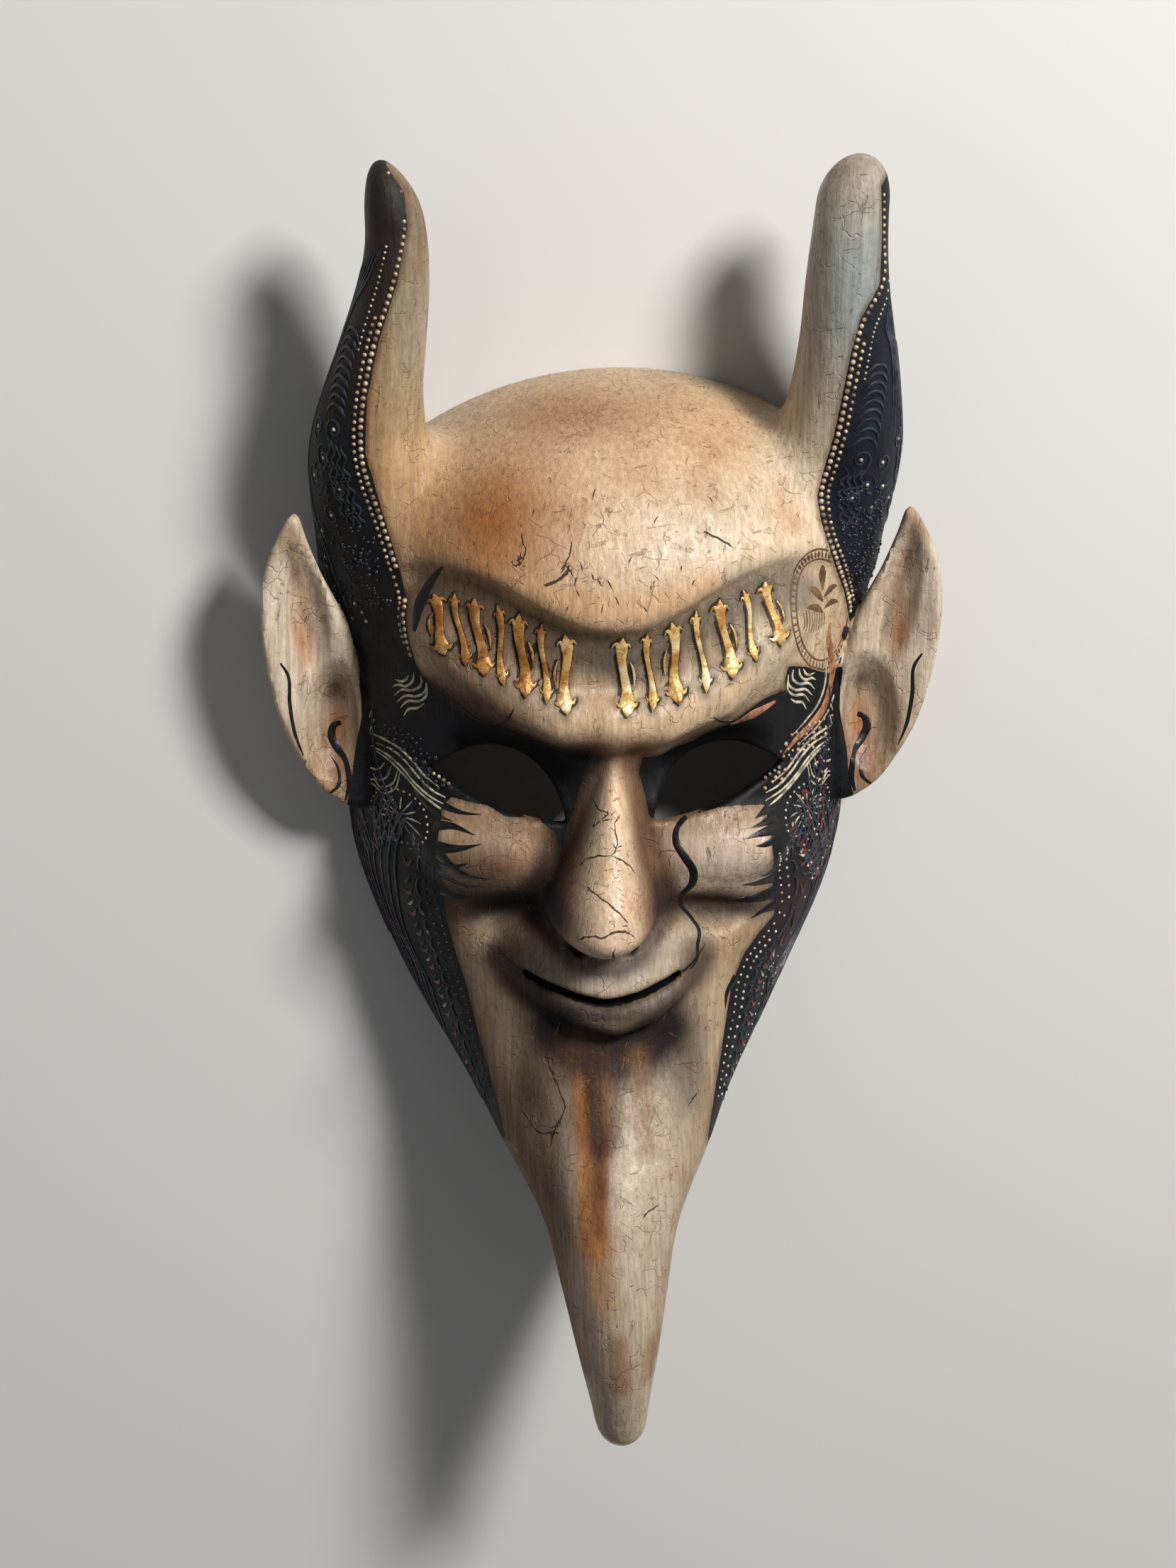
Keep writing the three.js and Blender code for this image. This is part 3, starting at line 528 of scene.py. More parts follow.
def make_shell():
    """The fine skin less the hollow."""
    points, quads = surface_nets(skin, [lattice(stops) for stops in SKIN_LATTICE])
    points = relax(skin, settle(skin, points), quads)
    shell = new_object("painted_mask", points, quads)
    points, quads = surface_nets(hollow, [lattice(stops) for stops in HOLLOW_LATTICE])
    scoop = new_object("scoop", settle(hollow, points), quads)
    cut = shell.modifiers.new("hollow", "BOOLEAN")
    cut.operation = "DIFFERENCE"
    cut.solver = "MANIFOLD"
    cut.object = scoop
    bpy.context.view_layer.update()
    result = bpy.data.meshes.new_from_object(shell.evaluated_get(bpy.context.evaluated_depsgraph_get()))
    shell.modifiers.clear()
    shell.data = result
    result.name = "painted_mask"
    result.materials.clear()
    keep_whole(result)
    bpy.data.objects.remove(scoop)
    result.polygons.foreach_set("use_smooth", [True] * len(result.polygons))
    result.set_sharp_from_angle(angle=math.radians(SHARP))
    return shell


# Plan outlines of the paint, in the sculptor's frame
CREAM = [
    (100, 245), (96, 232), (88.7, 222.8), (89.4, 207.2), (89.4, 191), (85.9, 185.4), (82.4, 179.3),
    (79.8, 168), (77.9, 156), (76, 143.9), (73.4, 131.5), (70.8, 119.2), (72.1, 110.7), (77.1, 96.6),
    (83.2, 81.9), (86.6, 70.1), (87.6, 57.5), (85.8, 54.9), (79, 53.3), (72.6, 57), (68, 59.6),
    (61.4, 61.3), (60.4, 56.2), (62.1, 49.4), (63.4, 49.3), (59.2, 52.9), (48.3, 48.1), (37.8, 40.8),
    (28.8, 35.3), (17.4, 33.6), (10.5, 33.6), (9.5, 28), (12.2, 18), (13.4, 11.5), (20.6, 9.7),
    (31.6, 11.8), (37.9, 13.2), (44.2, 13.5), (54.3, 12.3), (55.4, 5.1), (58, -13.5), (59.4, -30.6),
    (53.7, -35.7), (48.2, -42), (45.4, -48.7), (43.4, -54.7), (42, -65.2), (40.3, -76.8), (36.9, -96.5),
    (35, -108), (42, -124), (44, -230), (-44, -230), (-42, -122), (-36, -107), (-38, -96.5), (-42.6, -79),
    (-46.7, -63.1), (-49, -52.7), (-52.1, -42.4), (-56.1, -27), (-57.6, -9.5), (-58.5, 4.2), (-56.5, 13),
    (-53.8, 16.8), (-41.4, 14.9), (-35.5, 11.7), (-29, 11.2), (-23.2, 10), (-18.5, 6.3), (-16.9, -2.4),
    (-14.9, 8), (-12.2, 15.5), (-9.2, 28), (-7.6, 35.1), (-17.2, 35.9), (-25.4, 39.3), (-39, 45.2),
    (-49.9, 47), (-56.9, 52.7), (-63, 60), (-65.5, 64.6), (-67.8, 74.8), (-68.4, 80.9), (-67.6, 85.1),
    (-70.9, 99.2), (-74.3, 111), (-81, 135.8), (-79.9, 155.2), (-75.7, 174.1), (-69.6, 192.6),
    (-65.9, 210.6), (-66.8, 221.6), (-72.4, 230), (-74, 245),
]
UNDERSIDE = [(-230, 78), (-212, 76), (-176, 66), (-140, 52), (-125, 47), (-110, 41), (-96, 30), (-80, 5),
             (-70, -40), (260, -40)]
HORN_REAR = 0.55        # share of a horn's half depth, behind its middle, where the dark paint starts
HORN_REAR_FROM = 130.0  # y above which a horn is dark behind
HORN_NEAR, EAR_NEAR = 2.5, 0.7      # how close to a horn or an ear a place belongs to it
# y, how far out from the middle the cream of an ear starts
EAR_EDGE = [(4, 90), (8, 89.4), (14.5, 87.8), (24, 86.8), (30, 85.7), (39, 83.8), (47, 83.9), (54, 84.5),
            (62, 82)]


def outline_distance(x, y, points):
    """Signed distance in plan to a closed outline, positive outside."""
    best = np.full(len(x), 1e9)
    inside = np.zeros(len(x), bool)
    for (ax, ay), (bx, by) in zip(points, points[1:] + points[:1]):
        ux, uy = bx - ax, by - ay
        t = np.clip(((x - ax) * ux + (y - ay) * uy) / (ux * ux + uy * uy), 0.0, 1.0)
        best = np.minimum(best, np.hypot(x - ax - t * ux, y - ay - t * uy))
        crosses = (ay > y) != (by > y)
        inside ^= crosses & (x < ax + (y - ay) * ux / (uy if uy else 1.0))
    return np.where(inside, -best, best)


def dark_paint(x, y, z):
    """Signed distance to the blue-black paint's edge, positive in it."""
    d = np.maximum(outline_distance(x, y, CREAM), np.interp(y, *np.array(UNDERSIDE).T) - z)
    for side in (1, -1):
        cx, cz, width, depth = (f(np.minimum(y, HORN_TIP[side][0])) for f in horn_curves[side])
        rear = np.minimum(cz - depth * HORN_REAR - z, HORN_NEAR - horn(x, y, z, side))
        d = np.maximum(d, np.minimum(rear, y - HORN_REAR_FROM))
        on_ear = np.maximum(ear(x, y, z, side) - EAR_NEAR, np.interp(y, *np.array(EAR_EDGE).T) - side * x)
        d = np.minimum(d, on_ear)
    slit = np.minimum(slit_half(x) + SLIT_EDGE - line_distance(x, y, SLIT), z - SLIT_FLOOR + SLIT_DEPTH)
    return np.maximum(d, slit)


# Lines given by places (x, y) in plan, with a half width at each
def smooth_line(places, widths=None, step=1.0):
    """A smooth line through places, and its half widths, every step millimetres."""
    p = np.array(places, float)
    w = np.full(len(p), 1.0) if widths is None else np.array(widths, float)
    gaps = np.linalg.norm(np.diff(p[:, :2], axis=0), axis=1)
    t = np.concatenate([[0.0], np.cumsum(np.maximum(gaps, 1e-6))])
    n = max(3, int(round(t[-1] / step)) + 1)
    fine = np.linspace(0, t[-1], n)
    return through(t, p, fine), np.interp(fine, t, w)


FALL = np.arange(108.0, -2.0, -1.0)     # heights at which something let fall is looked for


def drop(places, field=head):
    """Sets places (x, y) on the front of the mask, as if let fall on it."""
    p = np.atleast_2d(np.asarray(places, float))[:, :2]
    x, y = np.repeat(p, len(FALL), axis=0).T
    value = field(x, y, np.tile(FALL, len(p))).reshape(len(p), -1)
    first = np.argmax(value < 0, axis=1)
    low = np.maximum(first - 1, 0)
    f0 = value[np.arange(len(p)), low]
    f1 = value[np.arange(len(p)), first]
    z = FALL[low] - np.clip(f0 / np.maximum(f0 - f1, 1e-6), 0, 1)
    z = np.where((value < 0).any(axis=1), z, 0.0)
    return settle(field, np.column_stack([p, z]), 3)


STROKE_REACH = 6.0      # how far from a line its distance is worked out


def stroke_map(points, lines):
    """For each point the nearest line's signed distance across, distance and half width."""
    best = np.full(len(points), 1e3)
    across = np.full(len(points), 1e3)
    width = np.zeros(len(points))
    for line, widths in lines:
        low, high = line.min(0) - STROKE_REACH, line.max(0) + STROKE_REACH
        near = np.nonzero(((points > low) & (points < high)).all(axis=1))[0]
        if not len(near):
            continue
        q = points[near]
        for a, b, wa, wb in zip(line, line[1:], widths, widths[1:]):
            u = b - a
            t = np.clip((q - a) @ u / (u @ u), 0.0, 1.0)
            gap = q - a - t[:, None] * u
            d = np.linalg.norm(gap, axis=1)
            closer = d < best[near]
            where = near[closer]
            best[where] = d[closer]
            out = np.cross(u, (0.0, 0.0, 1.0))
            sign = np.where(gap[closer] @ out < 0, -1.0, 1.0)
            across[where] = sign * d[closer]
            width[where] = wa + (wb - wa) * t[closer]
    return np.column_stack([across, best, width])


# Colours
def linear(r, g, b):
    """A displayed colour, 0 to 255, as linear light."""
    shares = (c / 255 for c in (r, g, b))
    return tuple(c / 12.92 if c <= 0.04045 else ((c + 0.055) / 1.055) ** 2.4 for c in shares)


GROUND = (206, 182, 150)
# Tones that fade out from a middle, the paint's own colours with painted shade on the left of the face and
# painted highlights worked in: middle, reach, colour as displayed, strength
TONES_AND_PAINTED_LIGHT = [
    # the forehead, the brown on its left deepened as painted shade
    ((0, 118, 85), (75, 48, 70), (222, 196, 164), 0.95),
    ((30, 108, 80), (30, 24, 40), (194, 178, 158), 0.75),
    ((-42, 118, 72), (29, 34, 40), (150, 86, 24), 0.96),
    ((-16, 149, 60), (48, 11, 50), (132, 82, 36), 0.94),
    ((45, 141, 55), (26, 12, 40), (184, 142, 98), 0.7),
    # the horns and their roots
    ((83, 190, 50), (24, 56, 40), (136, 147, 150), 1.0),
    ((82, 228, 50), (20, 10, 40), (150, 137, 124), 0.85),
    ((-69, 190, 50), (22, 50, 40), (138, 130, 108), 0.95),
    ((-66, 218, 50), (14, 20, 40), (104, 82, 58), 0.85),
    ((70, 128, 50), (16, 18, 30), (212, 200, 178), 0.8),
    ((-66, 128, 50), (16, 18, 30), (186, 160, 118), 0.7),
    ((-78, 140, 48), (7, 34, 30), (150, 112, 72), 0.5),
    # the brow band and the brows, their left side darkened as painted shade
    ((0, 62, 75), (66, 16, 60), (196, 174, 148), 0.9),
    ((-46, 70, 66), (22, 16, 40), (126, 98, 70), 0.85),
    ((45, 68, 70), (26, 14, 40), (188, 176, 154), 0.7),
    ((0, 46, 75), (45, 7, 60), (214, 184, 150), 0.6),
    ((-44, 52, 66), (20, 10, 40), (84, 58, 40), 0.9),
    ((44, 56, 66), (16, 8, 40), (208, 178, 148), 0.7),
    # the nose's bridge, lightened partly as painted highlight
    ((0, 26, 70), (8, 12, 30), (255, 214, 168), 0.9),
    # the right horn's root, lightened as painted light
    ((64, 112, 50), (12, 14, 30), (236, 214, 186), 0.7),
    # the nose
    ((-1, 4, 85), (9, 30, 40), (226, 198, 170), 0.9),
    ((-3, -20, 95), (9, 10, 30), (220, 194, 170), 0.8),
    ((-16, -16, 80), (6, 12, 30), (140, 88, 58), 0.6),
    ((11, -16, 80), (6, 12, 30), (178, 132, 98), 0.6),
    # the cheeks, the left one darkened as painted shade
    ((38, -4, 60), (22, 15, 30), (202, 184, 172), 0.9),
    ((-38, -4, 60), (22, 15, 30), (86, 58, 44), 0.92),
    ((-28, 2, 60), (8, 10, 30), (176, 136, 104), 0.5),
    # the muzzle and the lower lip, the muzzle's left darkened as painted shade
    ((-2, -38, 70), (32, 11, 30), (168, 162, 154), 0.9),
    ((-26, -40, 66), (10, 10, 30), (118, 92, 82), 0.7),
    ((0, -57, 70), (22, 7, 30), (140, 128, 116), 0.85),
    # the chin: a pale streak down it, partly painted highlight, and its left side darkened as painted shade
    ((0, -130, 90), (60, 56, 70), (184, 170, 152), 0.95),
    ((6, -108, 85), (4.5, 30, 40), (218, 202, 180), 0.6),
    ((1, -190, 95), (14, 34, 40), (150, 141, 124), 0.9),
    ((-28, -85, 65), (13, 28, 30), (46, 33, 27), 0.92),
    ((-22, -124, 80), (9, 48, 40), (62, 45, 35), 0.88),
    ((28, -80, 65), (13, 24, 30), (94, 86, 77), 0.88),
]
# Dark paint rubbed into the hollows and deepened there as painted shade, with streaks down the chin, in plan:
# line, half width, softness, colour as displayed, strength
RUBBED_PAINT_AND_SHADE = [
    # painted shadow under the forehead's overhanging V
    ([(-66, 84), (-58, 91), (-47, 89), (-36, 85), (-21, 77.5), (-10, 73), (0, 71.5)],
     2.5, 6, (78, 60, 46), 0.85),
    ([(0, 71.5), (10, 73), (21, 77.5), (36, 85), (47, 89), (58, 91), (66, 86)], 2.5, 6, (92, 86, 78), 0.8),
    # dark paint under the brows and at the root of the nose, deepened as painted shade
    ([(-60, 52), (-49, 46), (-38, 42), (-25, 36), (-17, 33), (-8, 33)], 3.0, 6, (52, 35, 26), 0.95),
    ([(8, 32), (17, 31), (29, 33), (38, 38), (48, 45), (59, 50)], 1.5, 5, (70, 52, 40), 0.85),
    ([(-5, 38), (5, 38)], 1.6, 5, (98, 66, 44), 0.65),
    # dark paint down the sides of the nose, round its wings and under its tip, deepened as painted shade
    ([(-11, 30), (-14, 18), (-17, 6), (-21, -6), (-25, -14)], 2.0, 5, (38, 26, 20), 0.92),
    ([(9, 32), (12, 18), (13, 6), (16, -6), (19, -15)], 1.8, 5, (96, 68, 48), 0.8),
    ([(-23, -14), (-24, -23), (-19, -30), (-13, -35)], 1.5, 4, (44, 29, 21), 0.92),
    ([(18, -13), (18.5, -22), (15, -29), (9, -34)], 1.3, 4, (60, 42, 31), 0.85),
    ([(-13, -35), (-6, -38), (2, -39), (9, -34)], 1.2, 4, (92, 84, 76), 0.8),
    # lines under the eyes
    ([(-56, 12), (-44, 12), (-35, 9), (-24, 7)], 0.8, 4, (110, 78, 54), 0.6),
    ([(24, 8), (34, 9.5), (54, 11)], 0.8, 4, (120, 90, 66), 0.55),
    # dark paint in the creases under the cheeks and down the sides of the face, deepened as painted shade
    ([(-58, -23.5), (-48, -23), (-38, -21.5), (-30, -19.5), (-24, -18)], 3.4, 5.5, (24, 16, 13), 0.98),
    ([(20, -19), (27, -21), (35, -24), (44, -24.5), (57, -24)], 2.0, 4.5, (44, 32, 25), 0.95),
    ([(-56, -10), (-56, -26), (-51, -42), (-48, -56)], 1, 7, (80, 58, 42), 0.65),
    ([(57, -10), (58, -28), (50, -38), (45, -50)], 1, 6, (118, 96, 74), 0.5),
    # dark paint round the lips and under the lower lip, deepened as painted shadow
    ([(-37, -40), (-33, -46), (-27, -53), (-19, -59), (-8, -65)], 1.4, 4.8, (38, 26, 20), 0.95),
    ([(31, -41), (28, -47), (22, -54), (13, -61), (4, -65)], 1.2, 4.5, (66, 49, 37), 0.88),
    ([(-24, -50), (-14, -54), (-4, -55.5), (5, -55)], 0.8, 2.6, (52, 40, 32), 0.85),
    ([(5, -55), (14, -53), (22, -49)], 0.6, 2.0, (96, 92, 88), 0.7),
    ([(-18, -65), (-8, -71), (2, -73), (10, -71), (18, -65)], 5.2, 7.5, (20, 13, 10), 1.0),
    ([(-34, -34), (-38, -41), (-35, -46)], 1.5, 5, (64, 46, 34), 0.8),
    ([(29, -36), (33, -41), (30, -45)], 1.5, 5, (84, 66, 52), 0.7),
    # brown and amber streaks down the chin
    ([(-9, -73), (-6, -84), (-5, -96)], 4.5, 6, (74, 48, 32), 0.8),
    ([(-7.4, -84), (-6.6, -104), (-7.4, -122), (-7.2, -134)], 2.8, 3.0, (158, 98, 40), 0.85),
    ([(-6.8, -134), (-6.2, -144), (-5, -152)], 1.2, 4.5, (176, 122, 70), 0.6),
    ([(-6.6, -76), (-5.8, -90), (-4.8, -102)], 1.2, 2.8, (52, 27, 14), 0.9),
    ([(-5.4, -98), (-4.9, -108), (-5.2, -116)], 0.5, 2.6, (66, 34, 16), 0.75),
    ([(-5.4, -112), (-5.8, -122), (-5.6, -129)], 0.1, 2.4, (98, 52, 20), 0.65),
    ([(9.5, -74), (10.6, -88), (12, -102)], 1.0, 3.5, (132, 98, 66), 0.65),
    # the chin's edges, the left one darkened as painted shade
    ([(-46, -66), (-42, -82), (-37, -98), (-27, -124), (-20, -150), (-14, -180)], 1, 6, (112, 84, 60), 0.75),
    ([(40, -80), (36, -98), (27, -124), (20, -150), (16, -178)], 1, 4.5, (158, 130, 98), 0.6),
    # brown spots near the chin's tip
    ([(0.4, -168), (1.6, -176), (1.4, -184)], 1.4, 3, (132, 92, 62), 0.7),
    ([(13.5, -170), (12, -182)], 0.8, 2.5, (128, 88, 56), 0.6),
    # brown along the left horn and by the horns' roots, and over the V
    ([(-76, 104), (-80, 122), (-82, 140), (-81, 160), (-77, 176)], 1, 6, (150, 114, 74), 0.6),
    ([(-60, 104), (-64, 112), (-62, 124)], 1.5, 6, (156, 112, 70), 0.6),
    ([(60, 122), (62, 112)], 1.0, 4, (176, 134, 92), 0.6),
    ([(-30, 93), (-10, 88), (10, 88), (30, 95)], 1.5, 5, (206, 162, 118), 0.6),
]
# the sides of the nose: brown paint deepened as painted shade
FLANK_TONE, FLANK_STRENGTH = (122, 82, 54), 0.8     # the sides of the nose
# the ear's cream, made paler as painted light, and the darker tone it takes towards its lower end
EAR_TONE, EAR_LOW_TONE = (252, 240, 218), (216, 194, 162)
# Brown and orange paint on an ear, deepened in its hollows as painted shade: middle (how far out, y), reach,
# turn in degrees, colour as displayed, strength
EAR_PAINT_AND_SHADE = [
    ((103, 84), (2.8, 17), 8, (196, 150, 102), 0.6),
    ((104, 67), (3.0, 11), 8, (196, 124, 64), 0.75),
    ((99.5, 69), (1.6, 13), 8, (136, 110, 86), 0.6),
    ((106, 94), (2.0, 11), 8, (112, 74, 48), 0.7),
    ((92.5, 48.5), (4.4, 5.6), 0, (84, 58, 42), 0.85),
    ((92.5, 34), (3.6, 8.5), -4, (210, 132, 68), 0.85),
    ((93, 19), (4.4, 9), -4, (162, 108, 72), 0.75),
    ((86, 38), (1.2, 16), 4, (138, 106, 78), 0.6),
    ((108, 106), (4, 6), 0, (162, 124, 86), 0.6),
]


def mixed(colour, other, share):
    """Each point's colour, moved by its share towards another."""
    return colour + (np.array(other) - colour) * share[:, None]


def paint_and_painted_light(p):
    """The colour of the paint at each point, with painted shade and painted highlights worked in."""
    x, y, z = p.T
    colour = np.tile(linear(*GROUND), (len(p), 1))
    for middle, reach, shown, strength in TONES_AND_PAINTED_LIGHT:
        near = np.exp(-(((p - middle) / reach) ** 2).sum(1))
        colour = mixed(colour, linear(*shown), strength * near)
    # the sides of the nose, darkened with brown paint and painted shade
    at = np.clip(y, NOSE[0][0], NOSE[-1][0])
    nose_side = np.abs(x - nose_lean(at)) / nose_width(at)
    flank = smooth_step(0.45, 0.95, nose_side) * smooth_step(-34, -26, y) * smooth_step(34, 20, y)
    flank = flank * smooth_step(1.5, 1.1, nose_side)
    colour = mixed(colour, linear(*FLANK_TONE), FLANK_STRENGTH * flank)
    for line, half, soft, shown, strength in RUBBED_PAINT_AND_SHADE:
        d = line_distance(x, y, line)
        colour = mixed(colour, linear(*shown), strength * np.exp(-(np.maximum(d - half, 0) / soft) ** 2))
    # each ear's colour: its cream paler as painted light, darker towards its lower end, with its paint and
    # the painted shade in its hollows
    for side in (1, -1):
        on = smooth_step(1.2, 0.2, ear(x, y, z, side))
        shade = mixed(np.tile(linear(*EAR_TONE), (len(p), 1)), linear(*EAR_LOW_TONE), smooth_step(60, 10, y))
        for (cu, cy), (ru, ry), turn, shown, strength in EAR_PAINT_AND_SHADE:
            du, dy = turned(side * x - cu, y - cy, turn)
            near = np.exp(-(du / ru) ** 2 - (dy / ry) ** 2)
            shade = mixed(shade, linear(*shown), strength * near)
        colour = mixed(colour, shade, on)
    return colour


# Materials
def plug(tree, socket, value):
    """Links a socket to another, or sets its number or colour."""
    if isinstance(value, bpy.types.NodeSocket):
        tree.links.new(value, socket)
    else:
        socket.default_value = value


def node(tree, kind, inputs, **settings):
    """A node with its settings made and its inputs set or linked."""
    made = tree.nodes.new(kind)
    for key, value in settings.items():
        setattr(made, key, value)
    for key, value in inputs.items():
        plug(tree, made.inputs[key], value)
    return made


class Maker:
    """Short names for the nodes that the materials are made of."""

    def __init__(self, name):
        self.material = bpy.data.materials.new(name)
        self.material.use_nodes = True
        self.tree = self.material.node_tree
        self.shader = self.tree.nodes["Principled BSDF"]
        self.place = self.node("TexCoord", {}).outputs["Object"]

    def node(self, kind, inputs, **settings):
        return node(self.tree, "ShaderNode" + kind, inputs, **settings)

    def math(self, operation, a, b=0.0, c=0.0):
        return self.node("Math", {0: a, 1: b, 2: c}, operation=operation).outputs[0]

    def times(self, a, b):
        return self.math("MULTIPLY", a, b)

    def step(self, value, low, high, to_low=0.0, to_high=1.0):
        """Runs evenly from one end value to the other as value goes from low to high, and stops there."""
        ends = {"Value": value, "From Min": low, "From Max": high, "To Min": to_low, "To Max": to_high}
        return self.node("MapRange", ends, interpolation_type="SMOOTHSTEP").outputs["Result"]

    def stretched(self, scale, turn=0.0):
        """The place stretched by a scale, after a turn about z."""
        way = self.node("Mapping", {"Vector": self.place, "Rotation": (0.0, 0.0, turn)}).outputs["Vector"]
        return self.node("Mapping", {"Vector": way, "Scale": scale}).outputs["Vector"]

    def noise(self, scale, detail=3.0, roughness=0.5, vector=None, out="Fac"):
        inputs = {"Vector": vector or self.place, "Scale": scale, "Detail": detail, "Roughness": roughness}
        return self.node("TexNoise", inputs).outputs[out]

    def mix(self, share, a, b, blend="MIX"):
        """Mixes colour b into colour a."""
        return self.node("Mix", {0: share, 6: a, 7: b}, data_type="RGBA", blend_type=blend).outputs[2]

    def blend(self, share, a, b):
        """The same for plain numbers."""
        return self.node("Mix", {0: share, 2: a, 3: b}).outputs[0]

    def attribute(self, name, out="Fac"):
        return self.node("Attribute", {}, attribute_name=name).outputs[out]

    def split(self, vector):
        return self.node("SeparateXYZ", {"Vector": vector}).outputs

    def set(self, key, value):
        plug(self.tree, self.shader.inputs[key], value)

    def bump(self, height, strength):
        made = self.node("Bump", {"Height": height, "Strength": strength, "Distance": MM})
        self.set("Normal", made.outputs[0])


def rgba(*shown):
    """A displayed colour as a socket takes it."""
    return (*linear(*shown), 1.0)


# turn, scale of the strokes, scale of the patches that have them, how rare they are
SCRATCHES = [
    (0.25, (520.0, 80.0, 320.0), 61.0, 0.635),
    (-0.9, (680.0, 110.0, 400.0), 83.0, 0.645),
    (1.35, (600.0, 90.0, 360.0), 72.0, 0.64),
]


def shell_paint():
    """Aged paint on papier-mache: brushed cream, blue-black walls, bare paper behind."""
    m = Maker("aged_mask_paint")
    swirl = m.noise(90.0, 2.0, out="Color")
    bent = m.node("Mix", {0: 0.012, 4: m.place, 5: swirl}, data_type="VECTOR").outputs[1]
    streaks = m.noise(1.0, 5.0, 0.66, m.stretched((620.0, 34.0, 460.0)))
    fine = m.noise(1.0, 4.0, 0.66, m.stretched((2300.0, 140.0, 1700.0)))
    mottle = m.noise(38.0, 4.0, 0.6)
    specks = m.noise(700.0, 2.0, 0.5)

    # the paint's colour, with its painted shade and painted highlights
    cream = m.attribute("paint_and_painted_light", "Color")
    brushed = m.mix(m.step(streaks, 0.32, 0.66), (1.09, 1.10, 1.10, 1.0), (0.62, 0.56, 0.49, 1.0))
    cream = m.mix(0.55, cream, brushed, "MULTIPLY")
    hairs = m.mix(m.step(fine, 0.40, 0.70), (1.06, 1.06, 1.05, 1.0), (0.60, 0.53, 0.46, 1.0))
    cream = m.mix(0.45, cream, hairs, "MULTIPLY")
    cream = m.mix(m.step(mottle, 0.50, 0.72, 0.0, 0.40), cream, rgba(200, 160, 122), "MULTIPLY")
    cream = m.mix(m.step(mottle, 0.46, 0.28, 0.0, 0.8), cream, (1.22, 1.2, 1.16, 1.0), "MULTIPLY")

    # short scratches and fine crackle in the paint, in patches
    def scratches(turn, scale, patch, rare):
        strokes = m.noise(1.0, 3.0, 0.6, m.stretched(scale, turn))
        return m.times(m.step(strokes, rare, rare + 0.05), m.step(m.noise(patch, 2.0), 0.48, 0.58))

    net = m.node("TexVoronoi", {"Vector": bent, "Scale": 150.0}, feature="DISTANCE_TO_EDGE")
    crackle = m.times(m.step(net.outputs["Distance"], 0.034, 0.008), m.step(m.noise(95.0, 2.0), 0.52, 0.60))
    creases = scratches(*SCRATCHES[0])
    for layer in SCRATCHES[1:]:
        creases = m.math("MAXIMUM", creases, scratches(*layer))
    cream = m.mix(m.times(crackle, 0.10), cream, rgba(104, 74, 48))
    cream = m.mix(m.times(creases, 0.34), cream, rgba(136, 92, 56))

    # cracks given one by one, with ragged edges
    across, distance, half = m.split(m.attribute("crack", "Vector"))
    depth = m.math("SUBTRACT", half, m.math("ABSOLUTE", across))
    near = m.math("LESS_THAN", distance, m.math("ADD", half, 1.5))
    ragged = m.math("ADD", depth, m.math("MULTIPLY_ADD", specks, 0.5, -0.30))
    crack_line = m.times(m.step(ragged, -0.05, 0.12), near)
    cream = m.mix(m.times(crack_line, 0.92), cream, rgba(48, 30, 20))

    # painted shadow round the gilding, reaching further on one side, and its dark edge
    gilt_shadow = m.math("ADD", m.attribute("gilt_shadow"), m.math("MULTIPLY_ADD", specks, 0.5, -0.25))
    cream = m.mix(m.step(gilt_shadow, 3.2, 0.2, 0.0, 0.62), cream, rgba(86, 74, 60))
    cream = m.mix(m.step(gilt_shadow, 0.62, 0.30, 0.0, 0.92), cream, rgba(24, 18, 15))

    # blue-black walls
    night = m.attribute("night", "Color")
    clouds = m.noise(55.0, 4.0, 0.65)
    night = m.mix(m.step(clouds, 0.52, 0.74, 0.0, 0.5), night, rgba(18, 24, 38), "SCREEN")
    night = m.mix(m.step(fine, 0.55, 0.75, 0.0, 0.35), night, rgba(6, 6, 8))
    edge = m.math("ADD", m.attribute("dark"), m.math("MULTIPLY_ADD", streaks, 0.7, -0.35))
    dark = m.step(edge, -0.10, 0.12)
    colour = m.mix(m.times(m.step(edge, -2.2, -0.05), 0.55), cream, rgba(120, 84, 56), "MULTIPLY")
    colour = m.mix(dark, colour, night)

    # bare paper behind
    layers = m.noise(1.0, 5.0, 0.6, m.stretched((60.0, 90.0, 60.0)))
    paper = m.mix(m.step(layers, 0.35, 0.68), rgba(122, 104, 82), rgba(166, 146, 118))
    paper = m.mix(m.step(specks, 0.6, 0.8, 0.0, 0.4), paper, rgba(92, 78, 60))
    inside = m.math("ADD", m.attribute("inside"), m.math("MULTIPLY_ADD", mottle, 0.16, -0.08))
    behind = m.step(inside, 0.80, 0.92)
    m.set("Base Color", m.mix(behind, colour, paper))

    # gloss, duller in the cracks, on dark cream and on the paper
    gloss = m.math("ADD", m.step(streaks, 0.3, 0.7, 0.22, 0.44), m.times(crack_line, 0.3))
    gloss = m.math("ADD", gloss, m.step(mottle, 0.40, 0.62, 0.08, 0.0))
    dull_where_dark = m.step(m.node("RGBToBW", {"Color": cream}).outputs[0], 0.30, 0.05, 0.0, 0.28)
    gloss = m.blend(dark, m.math("ADD", gloss, dull_where_dark), m.step(clouds, 0.35, 0.7, 0.54, 0.74))
    m.set("Roughness", m.blend(behind, gloss, 0.86))
    m.set("Specular IOR Level", 0.34)

